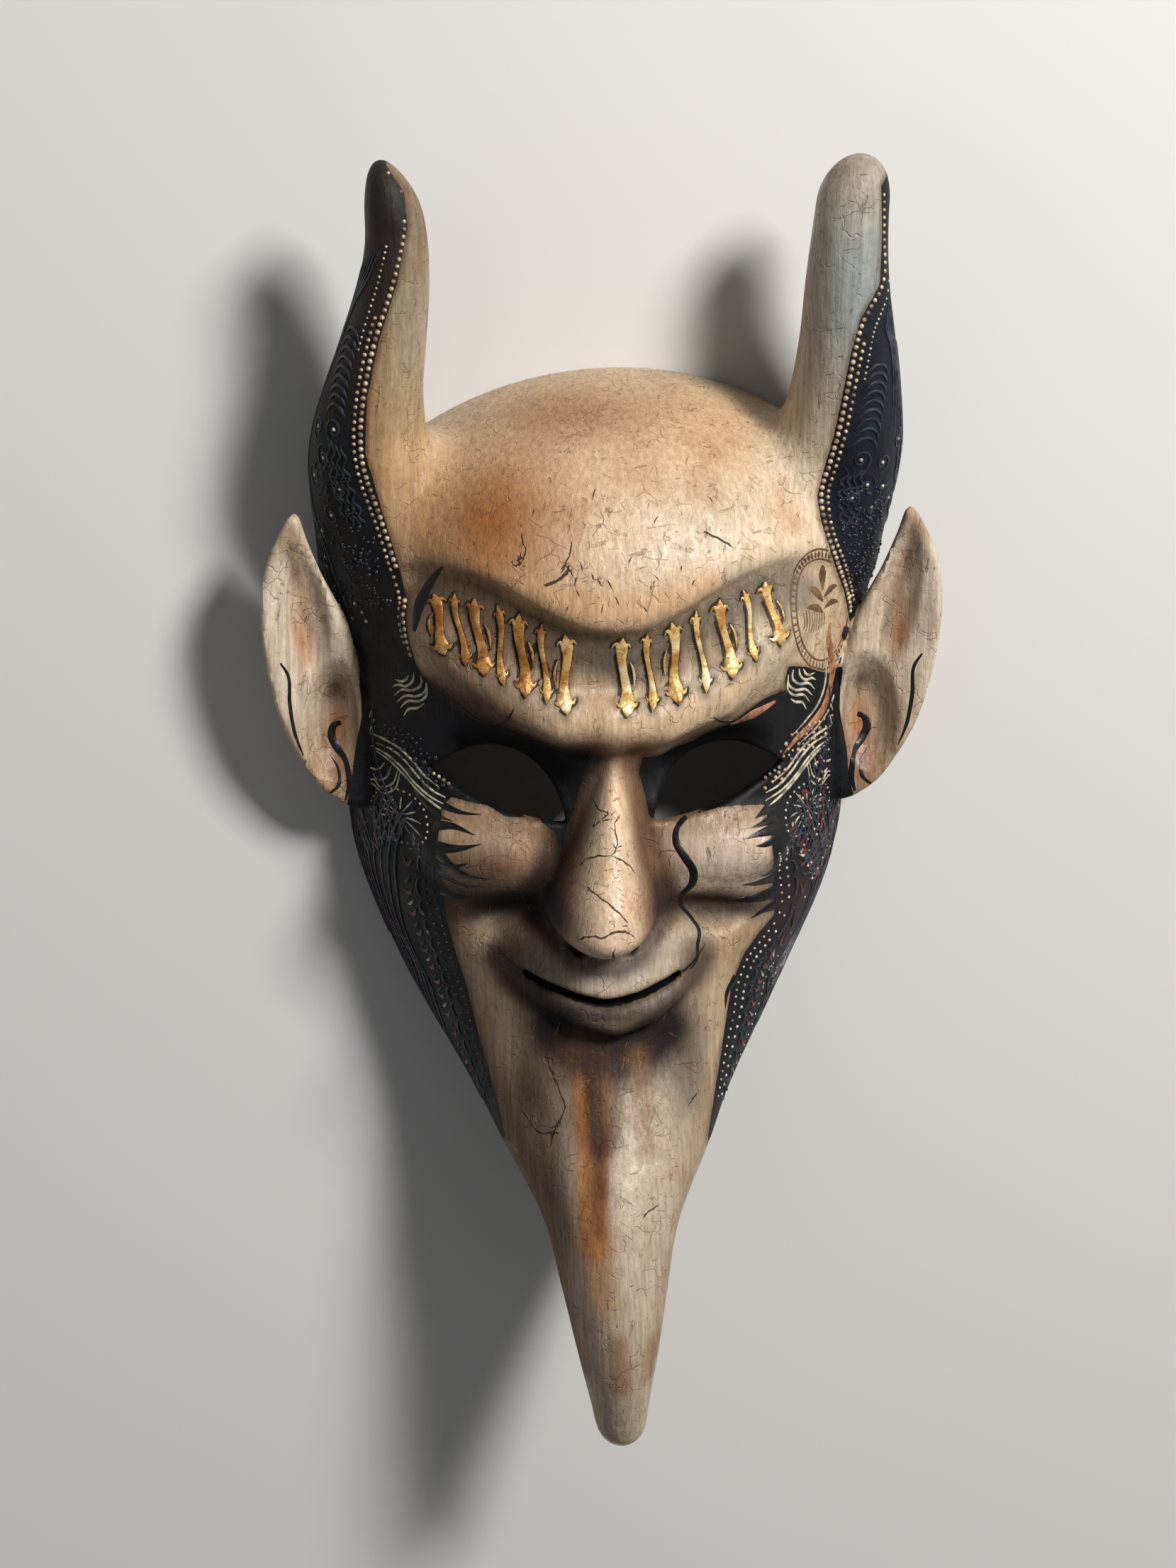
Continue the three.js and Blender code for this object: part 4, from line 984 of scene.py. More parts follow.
    # relief of the brushing, the scratches and cracks, and the paper's layers
    bare = m.math("SUBTRACT", 1.0, dark)
    height = m.times(streaks, 0.32)
    for source, share in ((fine, 0.10), (mottle, 0.7), (m.noise(210.0, 4.0), 0.5),
                          (m.times(crackle, bare), -0.26), (m.times(creases, bare), -0.36),
                          (crack_line, -0.5), (m.times(layers, behind), 1.2)):
        height = m.math("MULTIPLY_ADD", source, share, height)
    m.bump(height, 1.0)
    return m.material


def plain_paint(name, light, shade, roughness, metallic=0.0):
    """Paint with worn patches of a second colour and brushed unevenness."""
    m = Maker(name)
    wear = m.noise(300.0, 4.0, 0.6)
    m.set("Base Color", m.mix(m.step(wear, 0.40, 0.64), rgba(*light), rgba(*shade)))
    m.set("Roughness", m.step(wear, 0.3, 0.7, roughness, roughness + 0.18))
    m.set("Metallic", metallic)
    m.bump(m.times(wear, 0.32), 0.8)
    return m.material


def gilt():
    """Old pale gold and amber glaze over gesso."""
    m = Maker("old_gold")
    wear = m.noise(170.0, 5.0, 0.65)
    fine = m.noise(900.0, 3.0, 0.6)
    gold = m.mix(m.step(wear, 0.38, 0.62), rgba(232, 196, 122), rgba(176, 122, 54))
    gold = m.mix(m.step(fine, 0.56, 0.70, 0.0, 0.75), gold, rgba(84, 54, 28))
    gold = m.mix(m.step(m.noise(90.0, 3.0), 0.54, 0.66, 0.0, 0.75), gold, rgba(240, 222, 176))
    # the gold on the left darkened as painted shade
    shaded_left = m.step(m.split(m.place)["X"], -0.032, -0.004, 0.9, 0.0)
    m.set("Base Color", m.mix(shaded_left, gold, rgba(196, 168, 132), "MULTIPLY"))
    m.set("Metallic", 0.22)
    m.set("Roughness", m.step(wear, 0.3, 0.7, 0.28, 0.48))
    m.bump(m.math("MULTIPLY_ADD", fine, 0.16, m.times(wear, 0.6)), 1.0)
    return m.material


# Raised strokes and beads
STROKE_ACROSS = np.array([-1.0, -0.75, 0.0, 0.75, 1.0])
STROKE_RISE = np.array([0.0, 0.7, 1.0, 0.7, 0.0])
SUNK = 0.35     # how deep the strokes and beads are set into the shell


def surface_frame(ground, p):
    """The outward direction of the surface at each point."""
    _, slope = slope_of(ground, p)
    return slope / np.linalg.norm(slope, axis=1)[:, None]


def stroke_solid(line, widths, height, ground):
    """Points and faces of one raised stroke along a line on the surface."""
    normal = surface_frame(ground, line)
    tangent = np.gradient(line, axis=0)
    across = np.cross(tangent, normal)
    across /= np.maximum(np.linalg.norm(across, axis=1), 1e-9)[:, None]
    count = len(STROKE_ACROSS)
    spread = line[:, None] + across[:, None] * (STROKE_ACROSS[:, None] * widths[:, None, None])
    spread = settle(ground, spread.reshape(-1, 3), 1, 0.6)
    lift = np.tile(STROKE_RISE, len(line)) * np.repeat(np.minimum(height, widths * 0.9), count)
    lift = np.where(np.tile(STROKE_RISE, len(line)) == 0.0, -SUNK, lift)
    points = spread + np.repeat(normal, count, axis=0) * lift[:, None]
    faces = [list(range(count))[::-1], list(range(len(points) - count, len(points)))]
    for i in range(len(line) - 1):
        a = i * count
        for j in range(count):
            k = (j + 1) % count
            faces.append([a + j, a + k, a + count + k, a + count + j])
    return points, faces


def merged(name, solids, material, sharp=50.0):
    """One piece from many small closed solids, riding with the mask."""
    points, faces, shift = [], [], 0
    for p, f in solids:
        points.append(p)
        faces += [[shift + i for i in face] for face in f]
        shift += len(p)
    obj = new_object(name, np.concatenate(points), faces)
    obj.data.materials.append(material)
    obj.data.polygons.foreach_set("use_smooth", [True] * len(obj.data.polygons))
    obj.data.set_sharp_from_angle(angle=math.radians(sharp))
    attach(obj, "root")
    return obj


def raised_strokes(name, lines, height, material, ground=head):
    """One piece from many strokes of paint."""
    return merged(name, [stroke_solid(p, w, height, ground) for p, w in lines], material)


BEAD_TURNS = 8
BEAD_RINGS = (35.0, 68.0, 98.0)     # degrees from a bead's top
BEAD_FLAT = 0.8                     # a bead's height beside its radius


def beads(name, places, radii, material):
    """Round drops of thick paint."""
    places = np.asarray(places)
    normal = surface_frame(head, places)
    side = np.cross(normal, (0.31, 0.87, 0.38))
    side /= np.linalg.norm(side, axis=1)[:, None]
    other = np.cross(normal, side)
    ring = [[0] + [1 + j, 1 + (j + 1) % BEAD_TURNS] for j in range(BEAD_TURNS)]
    for k in range(len(BEAD_RINGS) - 1):
        a = 1 + k * BEAD_TURNS
        for j in range(BEAD_TURNS):
            i = (j + 1) % BEAD_TURNS
            ring.append([a + j, a + BEAD_TURNS + j, a + BEAD_TURNS + i, a + i])
    ring.append([1 + (len(BEAD_RINGS) - 1) * BEAD_TURNS + j for j in range(BEAD_TURNS)][::-1])
    solids = []
    turns = np.radians(np.arange(BEAD_TURNS) * 360.0 / BEAD_TURNS)
    for c, n, a, b, r in zip(places, normal, side, other, radii):
        points = [c + n * r * BEAD_FLAT]
        for fall in np.radians(BEAD_RINGS):
            points += list(c + n * r * BEAD_FLAT * math.cos(fall)
                           + r * math.sin(fall) * (np.outer(np.cos(turns), a) + np.outer(np.sin(turns), b)))
        solids.append((np.array(points), ring))
    return merged(name, solids, material, 80.0)


RIM_CLEAR, EDGE_CLEAR, EAR_CLEAR = 2.5, 0.4, 2.0    # how far ornament keeps from the rim, the cream, the ears


class Chart:
    """Places on the mask by millimetres along an edge of the paint and out from it over the surface."""

    def __init__(self, edge, reach, side):
        line, _ = smooth_line(edge, step=2.0)
        line = drop(line)
        gaps = np.linalg.norm(np.diff(line, axis=0), axis=1)
        t = np.concatenate([[0.0], np.cumsum(gaps)])
        self.length = t[-1]
        n = int(self.length / 2.0) + 1
        line = np.column_stack([np.interp(np.linspace(0, self.length, n), t, line[:, k]) for k in range(3)])
        p = settle(head, line, 2)
        tangent = np.gradient(p, axis=0)
        way = np.cross(tangent, surface_frame(head, p)) * side
        rows = [p]
        for _ in range(reach):
            normal = surface_frame(head, p)
            way -= (way * normal).sum(1)[:, None] * normal
            way /= np.linalg.norm(way, axis=1)[:, None]
            p = settle(head, p + way, 1)
            rows.append(p)
        self.grid = np.stack(rows, 1)
        x, y, z = self.grid.reshape(-1, 3).T
        clear = (z > np.maximum(rim_height(y), 0.0) + RIM_CLEAR) & (dark_paint(x, y, z) > EDGE_CLEAR)
        for ear_side in (1, -1):
            clear &= ear(x, y, z, ear_side) > EAR_CLEAR
        self.clear = clear.reshape(self.grid.shape[:2])

    def at(self, t, o):
        """Points at t along and o out, and whether each is clear of the rim, the ears and the cream."""
        row = np.clip(np.asarray(t, float) / self.length, 0, 1) * (self.grid.shape[0] - 1)
        column = np.clip(np.asarray(o, float), 0, self.grid.shape[1] - 1.001)
        i = np.minimum(row.astype(int), self.grid.shape[0] - 2)
        j = column.astype(int)
        a, b = (row - i)[:, None], (column - j)[:, None]
        g = self.grid
        p = (g[i, j] * (1 - a) * (1 - b) + g[i + 1, j] * a * (1 - b)
             + g[i, j + 1] * (1 - a) * b + g[i + 1, j + 1] * a * b)
        ok = self.clear[i, j] & self.clear[i + 1, j] & self.clear[i, j + 1] & self.clear[i + 1, j + 1]
        ok &= (np.asarray(t) >= 0.0) & (np.asarray(t) <= self.length)
        return settle(head, p, 1), ok

    def line(self, places, widths):
        """The clear stretches of a smooth line through places (t, o)."""
        fine, w = smooth_line(places, widths)
        p, ok = self.at(fine[:, 0], fine[:, 1])
        out, start = [], None
        for i in range(len(p) + 1):
            if i < len(p) and ok[i]:
                start = i if start is None else start
            elif start is not None:
                if i - start >= 4:
                    count = np.arange(i - start)
                    taper = np.minimum(1.0, np.minimum(count, count[::-1]) / 2.5 + 0.15)
                    out.append((p[start:i], w[start:i] * taper))
                start = None
        return out


def on_front(places, widths, step=1.0):
    """A smooth line through places (x, y), let fall on the front."""
    fine, w = smooth_line(places, widths, step)
    return drop(fine), w


CRACKS = [
    ([(-11.9, -1.1), (-9.1, 2.1), (-5.3, 4.2), (-1.4, 4.6), (3.4, 2.4), (7, -2.4)], 0.42),
    ([(-1.2, 4.6), (0.6, 7.2), (2.9, 7)], 0.3),
    ([(-10, -5.2), (-5.9, -7.7), (-2.1, -9.7), (0.9, -12.8), (3.9, -16.5)], 0.42),
    ([(-13, -22.2), (-8.6, -19.9), (-4.1, -19.9), (-2.1, -18.2), (2, -18.4), (6.5, -21.5)], 0.45),
    ([(-1.2, -23.3), (-1.6, -27), (-1, -30)], 0.5),
    ([(-5.9, 19.8), (-4.6, 17.6), (-1.1, 17.6), (-4.1, 15.1), (-6.8, 11.8), (-7.5, 10.6)], 0.4),
    ([(-7.5, 10.6), (-4.8, 13.8), (-0.9, 15.7)], 0.3),
    ([(1.8, 16.6), (0.4, 13.5), (0.7, 8.2), (-0.5, 4.8)], 0.3),
    ([(-23.6, 95.9), (-19.2, 97.2), (-16.4, 99.2), (-14.9, 102.8)], 0.75),
    ([(-32, 105.2), (-31, 101.3), (-33.5, 102.3)], 0.5),
    ([(-30.5, 112), (-29, 107), (-31, 101.3)], 0.35),
    ([(-18, 100.8), (-14.9, 105), (-13.8, 110.2)], 0.35),
    ([(29.3, 111.9), (34.1, 110), (40.1, 106.2)], 0.45),
    ([(-22.2, -73.9), (-17.7, -85), (-16.1, -89.4), (-19.2, -96.5), (-21.7, -103.9)], 0.4),
    ([(-30.9, -93.3), (-24, -99.7), (-18, -96.3)], 0.35),
    ([(9.2, -125.1), (12, -123), (15.7, -122)], 0.35),
    ([(27, -92.3), (31.1, -88.7)], 0.35),
]
CRACK_TICKS = [(-13, 97.5), (-11, 102), (-7.4, 98.7), (-5.3, 97.1), (-1.9, 96.4), (-12.3, 93.5), (0.4, 91.2),
               (11.7, 95), (13.4, 98.4), (-15.8, 88.3), (-4.3, 88.9), (9.7, 88.1), (22, 101), (26, 96),
               (-26, 118), (14, 116), (-6, 124), (33, 121), (-41, 98), (5, 104)]


def crack_lines():
    """The cracks and short ticks in the cream, with half widths that waver."""
    lines = []
    for places, half in CRACKS:
        fine, _ = smooth_line(places, step=1.2)
        fine = fine[:, :2] + rng.normal(0, 0.22, (len(fine), 2))
        widths = half * (0.6 + 0.4 * rng.random(len(fine)))
        widths[[0, -1]] = 0.0
        lines.append((drop(fine), widths))
    for x, y in CRACK_TICKS:
        turn, reach = rng.uniform(0.9, 2.4), rng.uniform(1.2, 2.6)
        dx, dy = reach * math.cos(turn), reach * math.sin(turn)
        lines.append((drop([(x - dx, y - dy), (x, y + 0.3), (x + dx, y + dy)]), np.array([0.0, 0.34, 0.0])))
    return lines


FAR = 9.0       # distances beyond this, in millimetres, are all one to the paint


def paint_attributes(shell):
    """Writes what the paint needs to know on the shell's points."""
    mesh = shell.data
    flat = np.zeros(len(mesh.vertices) * 3, np.float32)
    mesh.vertices.foreach_get("co", flat)
    p = flat.reshape(-1, 3).astype(float) / MM + (0.0, MIDDLE_Y, 0.0)
    x, y, z = p.T

    def store(name, kind, key, values):
        mesh.attributes.new(name, kind, "POINT").data.foreach_set(key, np.asarray(values, np.float32).ravel())

    store("paint_and_painted_light", "FLOAT_COLOR", "color", np.column_stack([paint_and_painted_light(p), np.ones(len(p))]))
    store("night", "FLOAT_COLOR", "color", np.column_stack([night_tone(p), np.ones(len(p))]))
    store("dark", "FLOAT", "value", np.clip(dark_paint(x, y, z), -FAR, FAR))
    sunk = np.clip(-head(x, y, z) / WALL, 0, 1)
    store("inside", "FLOAT", "value", sunk * smooth_step(0.5, 4.0, eye_gap(p)))
    store("crack", "FLOAT_VECTOR", "vector", np.clip(stroke_map(p, crack_lines()), -FAR, FAR))
    across, best, width = stroke_map(p, GOLD).T
    # distance from the gold strokes, shifted across them so that their painted shadow reaches further on one
    # side
    store("gilt_shadow", "FLOAT", "value", np.clip(best - width - 0.4 * np.clip(across, -1, 1), -2, FAR))


# Tones of the blue-black paint: middle, reach, colour as displayed, strength; the eye sockets darkest, black
# paint deepened as painted shade
NIGHT_TONES = [
    ((37, 28, 62), (30, 22, 60), (4, 4, 5), 1.0),
    ((-37, 28, 62), (30, 22, 60), (4, 4, 5), 1.0),
    ((-2, -50, 66), (34, 14, 30), (10, 11, 14), 1.0),
    ((94, 150, 40), (20, 40, 40), (12, 17, 30), 0.9),
    ((90, 112, 40), (20, 20, 40), (13, 17, 29), 0.8),
    ((-90, 200, 45), (22, 40, 40), (60, 44, 30), 0.85),
    ((72, 20, 36), (16, 20, 30), (10, 11, 17), 0.8),
    ((66, -30, 36), (16, 16, 34), (40, 13, 17), 0.7),
    ((56, -64, 40), (14, 18, 34), (16, 18, 26), 0.8),
    ((-60, -30, 36), (16, 30, 34), (14, 12, 14), 0.8),
]


def night_tone(p):
    """The colour of the dark paint at each point, deepened in the eye sockets as painted shade."""
    colour = np.tile(linear(7, 8, 12), (len(p), 1))
    for middle, reach, shown, strength in NIGHT_TONES:
        near = np.exp(-(((p - middle) / reach) ** 2).sum(1))
        colour = mixed(colour, linear(*shown), strength * near)
    return colour


# Black strokes, in plan
TEAR = [(26.3, 10.9), (22.8, 6.7), (22.7, 2.3), (25.8, -3), (28.6, -7.9), (28.4, -13.2), (25.1, -17.9),
        (25.3, -22.4), (29.1, -27.4), (31.3, -30.8), (30.6, -35.1), (30.1, -41.1), (28, -43.4)]
TEAR_WIDTHS = [0.9, 1.2, 1.6, 1.8, 1.8, 1.7, 1.3, 1.3, 1.1, 1, 0.9, 0.7, 0.3]
TONGUES = [
    ([(56.6, 11), (53.3, 10.2), (50.2, 8.9)], 1.3), ([(58.2, 8.1), (53.4, 7.3), (48.4, 6.5)], 1.3),
    ([(57.8, 5), (51.6, 4.4), (45.5, 3.3)], 1.4), ([(58.8, -12.3), (55.4, -13.3), (53.1, -12.9)], 1.2),
    ([(58.9, -16), (51.6, -16.3), (46.5, -15.5)], 1.4), ([(59.4, -21.8), (49, -22.4), (40, -21.9)], 1.6),
    ([(45.4, -50.5), (42, -55.6), (41.4, -61.7)], 1.2), ([(57.5, 1.5), (53, 0.4), (50, 0.6)], 1.0),
    ([(59.6, -27), (55, -27.6), (50.5, -29.6)], 1.3),
    ([(-67.8, 25), (-63.6, 14.5), (-59, 10.5), (-53.3, 9.3)], 1.3),
    ([(-64.5, 25.8), (-58.4, 14.6), (-50.6, 12.2), (-43.7, 12.1)], 1.3),
    ([(-60, 7.1), (-53.4, 8), (-46, 6.1)], 1.4), ([(-59.5, 0.6), (-51.9, 1.4), (-44, 3.4)], 1.4),
    ([(-58.8, -1.4), (-50, -8.3), (-40.9, -9.3)], 1.6),
    ([(-58.4, -10.5), (-49.2, -13.7), (-43.4, -13.3)], 1.5),
    ([(-58, -6), (-53, -5.4), (-48.5, -3.4)], 1.0), ([(-57.5, -18), (-52, -19.5), (-47, -18.6)], 1.2),
]
HOOKS = [
    ([(-50.1, 50.1), (-43.3, 45.5), (-38.1, 45), (-34.9, 49.5), (-33.1, 53.2)], [0.3, 0.6, 0.75, 0.6, 0.15]),
    ([(34, 48.9), (38.4, 44.4), (43.2, 44.6), (47.5, 47.7), (52.4, 50.3), (57.1, 51.5), (61.3, 49)],
     [0.15, 0.5, 0.6, 0.6, 0.55, 0.5, 0.2]),
]
FLAME = [(-55.8, 99), (-60.2, 92), (-63.4, 85.8), (-65.6, 76)], [0.3, 2.2, 2.8, 0.8]
MOUTH_CORNERS = [([(-38.5, -35.4), (-35.8, -38.9), (-33.4, -41.1), (-30.4, -43.0)], 1.0),
                 ([(33.4, -35.6), (31.0, -38.7), (28.2, -41.6), (25.0, -43.6)], 0.95)]
# places (how far out from the middle, y) and half widths
EAR_STROKES = [
    ([(91.1, 35.5), (93.4, 34.8), (94.6, 31.6), (92.6, 26.6), (89.8, 22.9), (88.9, 19), (88.6, 14.5),
      (90, 9)], [1.0, 1.5, 1.8, 1.8, 1.2, 1.3, 1.3, 0.5]),
    ([(95.2, 24.5), (92.2, 19.4), (92.3, 14.6), (95.5, 11.7)], [0.1, 0.6, 0.9, 0.4]),
    ([(111.3, 60.2), (109.1, 56.3), (108.5, 45.3), (107, 34.8), (104.3, 26.5)], [0.4, 0.7, 0.9, 0.8, 0.15]),
]


def black_strokes():
    """The black brushwork on the face and the ears."""
    lines = [on_front(TEAR, TEAR_WIDTHS), on_front(*FLAME)]
    for places, half in TONGUES:
        lines.append(on_front(places, np.linspace(2.0 * half, 0.12, len(places))))
    lines += [on_front(places, widths) for places, widths in HOOKS]
    for places, half in MOUTH_CORNERS:
        lines.append(on_front(places, np.linspace(0.12, half, len(places))))
    for side in (1, -1):
        for places, widths in EAR_STROKES:
            fine, w = smooth_line([(side * a, b) for a, b in places], widths)
            lines.append((drop(fine, filled), w))
    return lines


# Gold strokes on the band, a row of blades with narrower ones between: head, foot, and 1 for a wide one
BLADES = [
    ((-59, 89), (-55.5, 69.5), 1), ((-52, 90), (-49, 66.5), 0), ((-45.5, 89), (-43, 63.5), 1),
    ((-38.2, 87.5), (-36.2, 60.5), 0), ((-31, 85), (-29.4, 57), 1), ((-23.6, 82), (-22.4, 55), 0),
    ((-16.2, 78.5), (-15.6, 51.5), 1),
    ((3.0, 77.5), (4.2, 50.5), 1), ((11.2, 79), (13, 52), 0), ((19.2, 82), (22, 54), 1),
    ((27.6, 85.5), (31.2, 57.5), 0), ((35.8, 88.5), (40.2, 61.5), 1), ((44, 90.8), (48.8, 66.5), 0),
    ((52, 92.5), (57.5, 70.5), 1),
]
# how far down a blade, half width
BLADE = [(0, 0.2), (0.06, 1.2), (0.15, 2.3), (0.3, 1.7), (0.5, 1.5), (0.7, 1.9), (0.86, 3.0), (0.94, 1.9),
         (1, 0.2)]
THIN_SHARE = 0.6    # how wide the narrower blades are beside the wider ones
# strokes beside a blade: places (how far down it, millimetres across it) and half widths
BARBS = [
    ([(0.84, 0.8), (0.87, 2.6), (0.82, 3.9)], [1.3, 0.8, 0.12]),
    ([(0.84, -0.8), (0.88, -2.4), (0.84, -3.6)], [1.3, 0.8, 0.12]),
    ([(0.14, 0.6), (0.08, 2.2), (0.13, 3.4)], [1.2, 0.7, 0.12]),
    ([(0.16, -0.6), (0.10, -2.2), (0.15, -3.2)], [1.1, 0.6, 0.12]),
]
HAIRLINE = [(0.34, 2.9), (0.44, 3.5), (0.56, 3.3), (0.66, 2.8)], [0.12, 0.55, 0.5, 0.12]


def gold_lines():
    """Each blade as a stroke, with its barbs and, beside a wide one, a hairline."""
    lines = []
    for number, ((hx, hy), (fx, fy), wide) in enumerate(BLADES):
        dx, dy = fx - hx, fy - hy
        length = math.hypot(dx, dy)
        size = 1.0 if wide else THIN_SHARE
        hand = 1 if number % 3 else -1

        def place(down, across):
            """A place by its share of the blade's length and how far it lies to the blade's left."""
            out = across + 0.7 * hand * math.sin(2.0 * math.pi * down)
            return hx + dx * down + out * dy / length, hy + dy * down - out * dx / length

        lines.append(on_front([place(s, 0) for s, _ in BLADE], [w * size for _, w in BLADE], 0.8))
        for places, widths in BARBS:
            barb = [place(s, hand * o * size) for s, o in places]
            lines.append(on_front(barb, [w * size for w in widths], 0.7))
        if wide:
            places, widths = HAIRLINE
            lines.append(on_front([place(s, -hand * o) for s, o in places], widths, 0.8))
    return lines


GOLD = gold_lines()


# Ornament of the dark walls, by millimetres along an edge and out from it: from a horn's tip to its ear,
# and from an eye down the side of the jaw
LEFTWARD = CREAM[::-1]
RIGHT_EDGE, LEFT_EDGE = CREAM[2:17], LEFTWARD[1:14]
RIGHT_CHEEK = [(62.1, 49.4), (62.4, 30), (59.5, 20), (55.6, 12.3)] + CREAM[39:49]
LEFT_CHEEK = [(-63, 46), (-62.8, 28.5), (-57.5, 18), (-56.5, 11)] + LEFTWARD[32:40]
HORN_REACH, CHEEK_REACH = 62, 58    # how far out the ornament runs


class Trim:
    """Strokes and beads gathered by colour."""

    def __init__(self):
        self.strokes = {"slate": [], "pale": [], "red": []}
        self.drops = {"bronze": [], "pearl": [], "ink": []}

    def beads(self, kind, places, radius):
        for p, r in zip(places, np.broadcast_to(radius, len(places))):
            self.drops[kind].append((p, r))

    def rows(self, chart, kind, t, o, radius):
        """Beads at places t along a chart and o out."""
        places, ok = chart.at(t, np.broadcast_to(o, len(t)))
        self.beads(kind, places[ok], np.broadcast_to(radius, len(t))[ok])

    def front_beads(self, kind, line, spread, count, radii):
        """Beads strewn along a line on the front, none touching another."""
        fine, _ = smooth_line(line)
        taken = []
        for _ in range(count * 8):
            x, y = fine[rng.integers(len(fine)), :2] + rng.normal(0, spread, 2)
            r = rng.uniform(*radii)
            if all(math.hypot(x - a, y - b) > r + c + 0.35 for a, b, c in taken):
                taken.append((x, y, r))
            if len(taken) == count:
                break
        places = drop([(x, y) for x, y, _ in taken])
        keep = dark_paint(*places.T) > 0.6
        keep &= eye_gap(places) > 1.6
        self.beads(kind, places[keep], np.array([r for _, _, r in taken])[keep])


def eye_gap(p):
    """How far each point is from the eye openings, in plan."""
    return np.minimum(eye(p[:, 0], p[:, 1], 1), eye(p[:, 0], p[:, 1], -1))


SPIRAL_TURNS = 1.35


def spiral(t, o, radius, spin):
    """Places along a scroll that winds inward, turning one way or the other."""
    a = np.linspace(0.0, SPIRAL_TURNS * 2 * math.pi, int(SPIRAL_TURNS * 12))
    r = radius * (1.0 - 0.82 * a / a[-1])
    return list(zip(t + r * np.cos(a) * spin, o + r * np.sin(a)))


# place along and out, radius, way it winds
SCROLLS = [(93, 11.5, 3.4, 1), (102, 17, 3.0, -1), (94, 21, 3.0, 1), (111, 12, 2.6, -1), (108, 25, 3.4, 1),
           (120, 20, 2.8, -1), (86, 29, 3.2, -1), (126, 30, 3.2, 1)]


def horn_ornament(trim, chart):
    """Beads, long lines, arches and scrolls on a horn's dark side and the temple below it."""
    # rows of beads along the edge
    t = np.arange(3.0, chart.length - 2.0, 2.5)
    trim.rows(chart, "bronze", t, 1.3, np.interp(t, [0, 30, 60, 140], [0.6, 0.8, 0.95, 0.95]))
    t = np.arange(54.0, chart.length - 6.0, 2.5)
    trim.rows(chart, "bronze", t, 3.6, 0.72)
    t = np.arange(30.0, 66.0, 2.1)
    trim.rows(chart, "pearl", t, 6.4, 0.45)
    # long lines that spread out from the tip
    for k in range(11):
        line = [(30 + 1.5 * k, 8.0 + 1.7 * k), (44 + 2.0 * k, 11.5 + 2.1 * k), (60 + 2.2 * k, 18.5 + 2.3 * k),
                (80 + 2.0 * k, 22 + 2.6 * k)]
        trim.strokes["slate"] += chart.line(line, [0.2, 0.55, 0.6, 0.2])
    # arches
    for k in range(9):
        at = 62 + 3.1 * k
        arch = [(at + 1.5, 7), (at - 1.2, 9.5), (at - 1.8, 12.5), (at + 0.4, 15.5), (at + 2.4, 16.6)]
        trim.strokes["slate"] += chart.line(arch, [0.4, 0.6, 0.65, 0.55, 0.2])
    # scrolls, each about a bead
    for at, out, radius, spin in SCROLLS:
        curl = spiral(at, out, 1.25 * radius, spin)
        trim.strokes["slate"] += chart.line(curl, np.full(len(curl), 0.42))
        p, ok = chart.at([at], [out])
        trim.beads("pearl", p[ok], 0.75)
    # waves
    for k in range(4):
        wave = [(a, 7.6 + 2.1 * k + 1.0 * math.sin(a * 1.1 + k)) for a in np.arange(96.0, 126.0, 1.2)]
        trim.strokes["slate"] += chart.line(wave, np.full(len(wave), 0.5))
    # slow swells with beads between them
    for k in range(9):
        swell = [(a, 33 + 3.0 * k + 2.4 * math.sin(a / 8.0 + 0.5 * k)) for a in np.arange(40.0, 168.0, 3.0)]
        trim.strokes["slate"] += chart.line(swell, np.full(len(swell), 0.55))
        t = np.arange(44.0, 160.0, 4.2)
        out = 34.5 + 3.0 * k + 2.4 * np.sin(t / 8.0 + 0.5 * k)
        trim.rows(chart, "pearl" if k % 3 == 1 else "ink", t, out, 0.5)
    # strewn beads
    count = 150
    t, o = rng.uniform(104, 158, count), rng.uniform(7, 26, count)
    trim.rows(chart, "ink", t, o, rng.uniform(0.4, 0.75, count))


def cheek_ornament(trim, chart, glint):
    """Scallops, dashes, flames and rows of drops down the side of the jaw."""
    length = chart.length
    # rows of beads along the edge
    for row, (out, gap, size, kind) in enumerate([(3.2, 3.0, 0.5, glint), (7.2, 3.4, 0.62, glint),
                                                  (12.5, 4.6, 0.5, "ink"), (21.0, 3.2, 0.4, glint)]):
        t = np.arange(62.0 + 3 * row, length - 3.0, gap)
        trim.rows(chart, kind, t, out + 0.5 * np.sin(t / 5.0), size)
    # a scallop, a dash and a flame, over and over
    for k in range(17):
        at = 58 + 6.4 * k
        scallop = [(at, 9.2), (at + 1.2, 11.0), (at + 3.2, 11.6), (at + 5.2, 11.0), (at + 6.2, 9.2)]
        trim.strokes["slate"] += chart.line(scallop, [0.3, 0.55, 0.6, 0.55, 0.3])
        dash = [(at + 1.0, 14.5), (at + 2.6, 16.6), (at + 3.0, 19.0)]
        trim.strokes["pale" if k % 3 == 0 else "slate"] += chart.line(dash, [0.3, 0.7, 0.2])
        flame = [(at + 3.4, 13.6), (at + 5.6, 16.0), (at + 4.6, 19.4)]
        trim.strokes["red"] += chart.line(flame, [0.4, 1.0, 0.2])
    # slow swells with beads between them
    for k in range(9):
        swell = [(a, 24.5 + 3.6 * k + 1.8 * math.sin(a / 6.5 + 0.7 * k)) for a in np.arange(6.0, length, 3.0)]
        trim.strokes["red" if k % 3 == 2 else "slate"] += chart.line(swell, np.full(len(swell), 0.6))
        t = np.arange(8.0, length, 4.4)
        out = 26.3 + 3.6 * k + 1.8 * np.sin(t / 6.5 + 0.7 * k)
        trim.rows(chart, glint if k % 3 == 1 else "ink", t, out, 0.55)


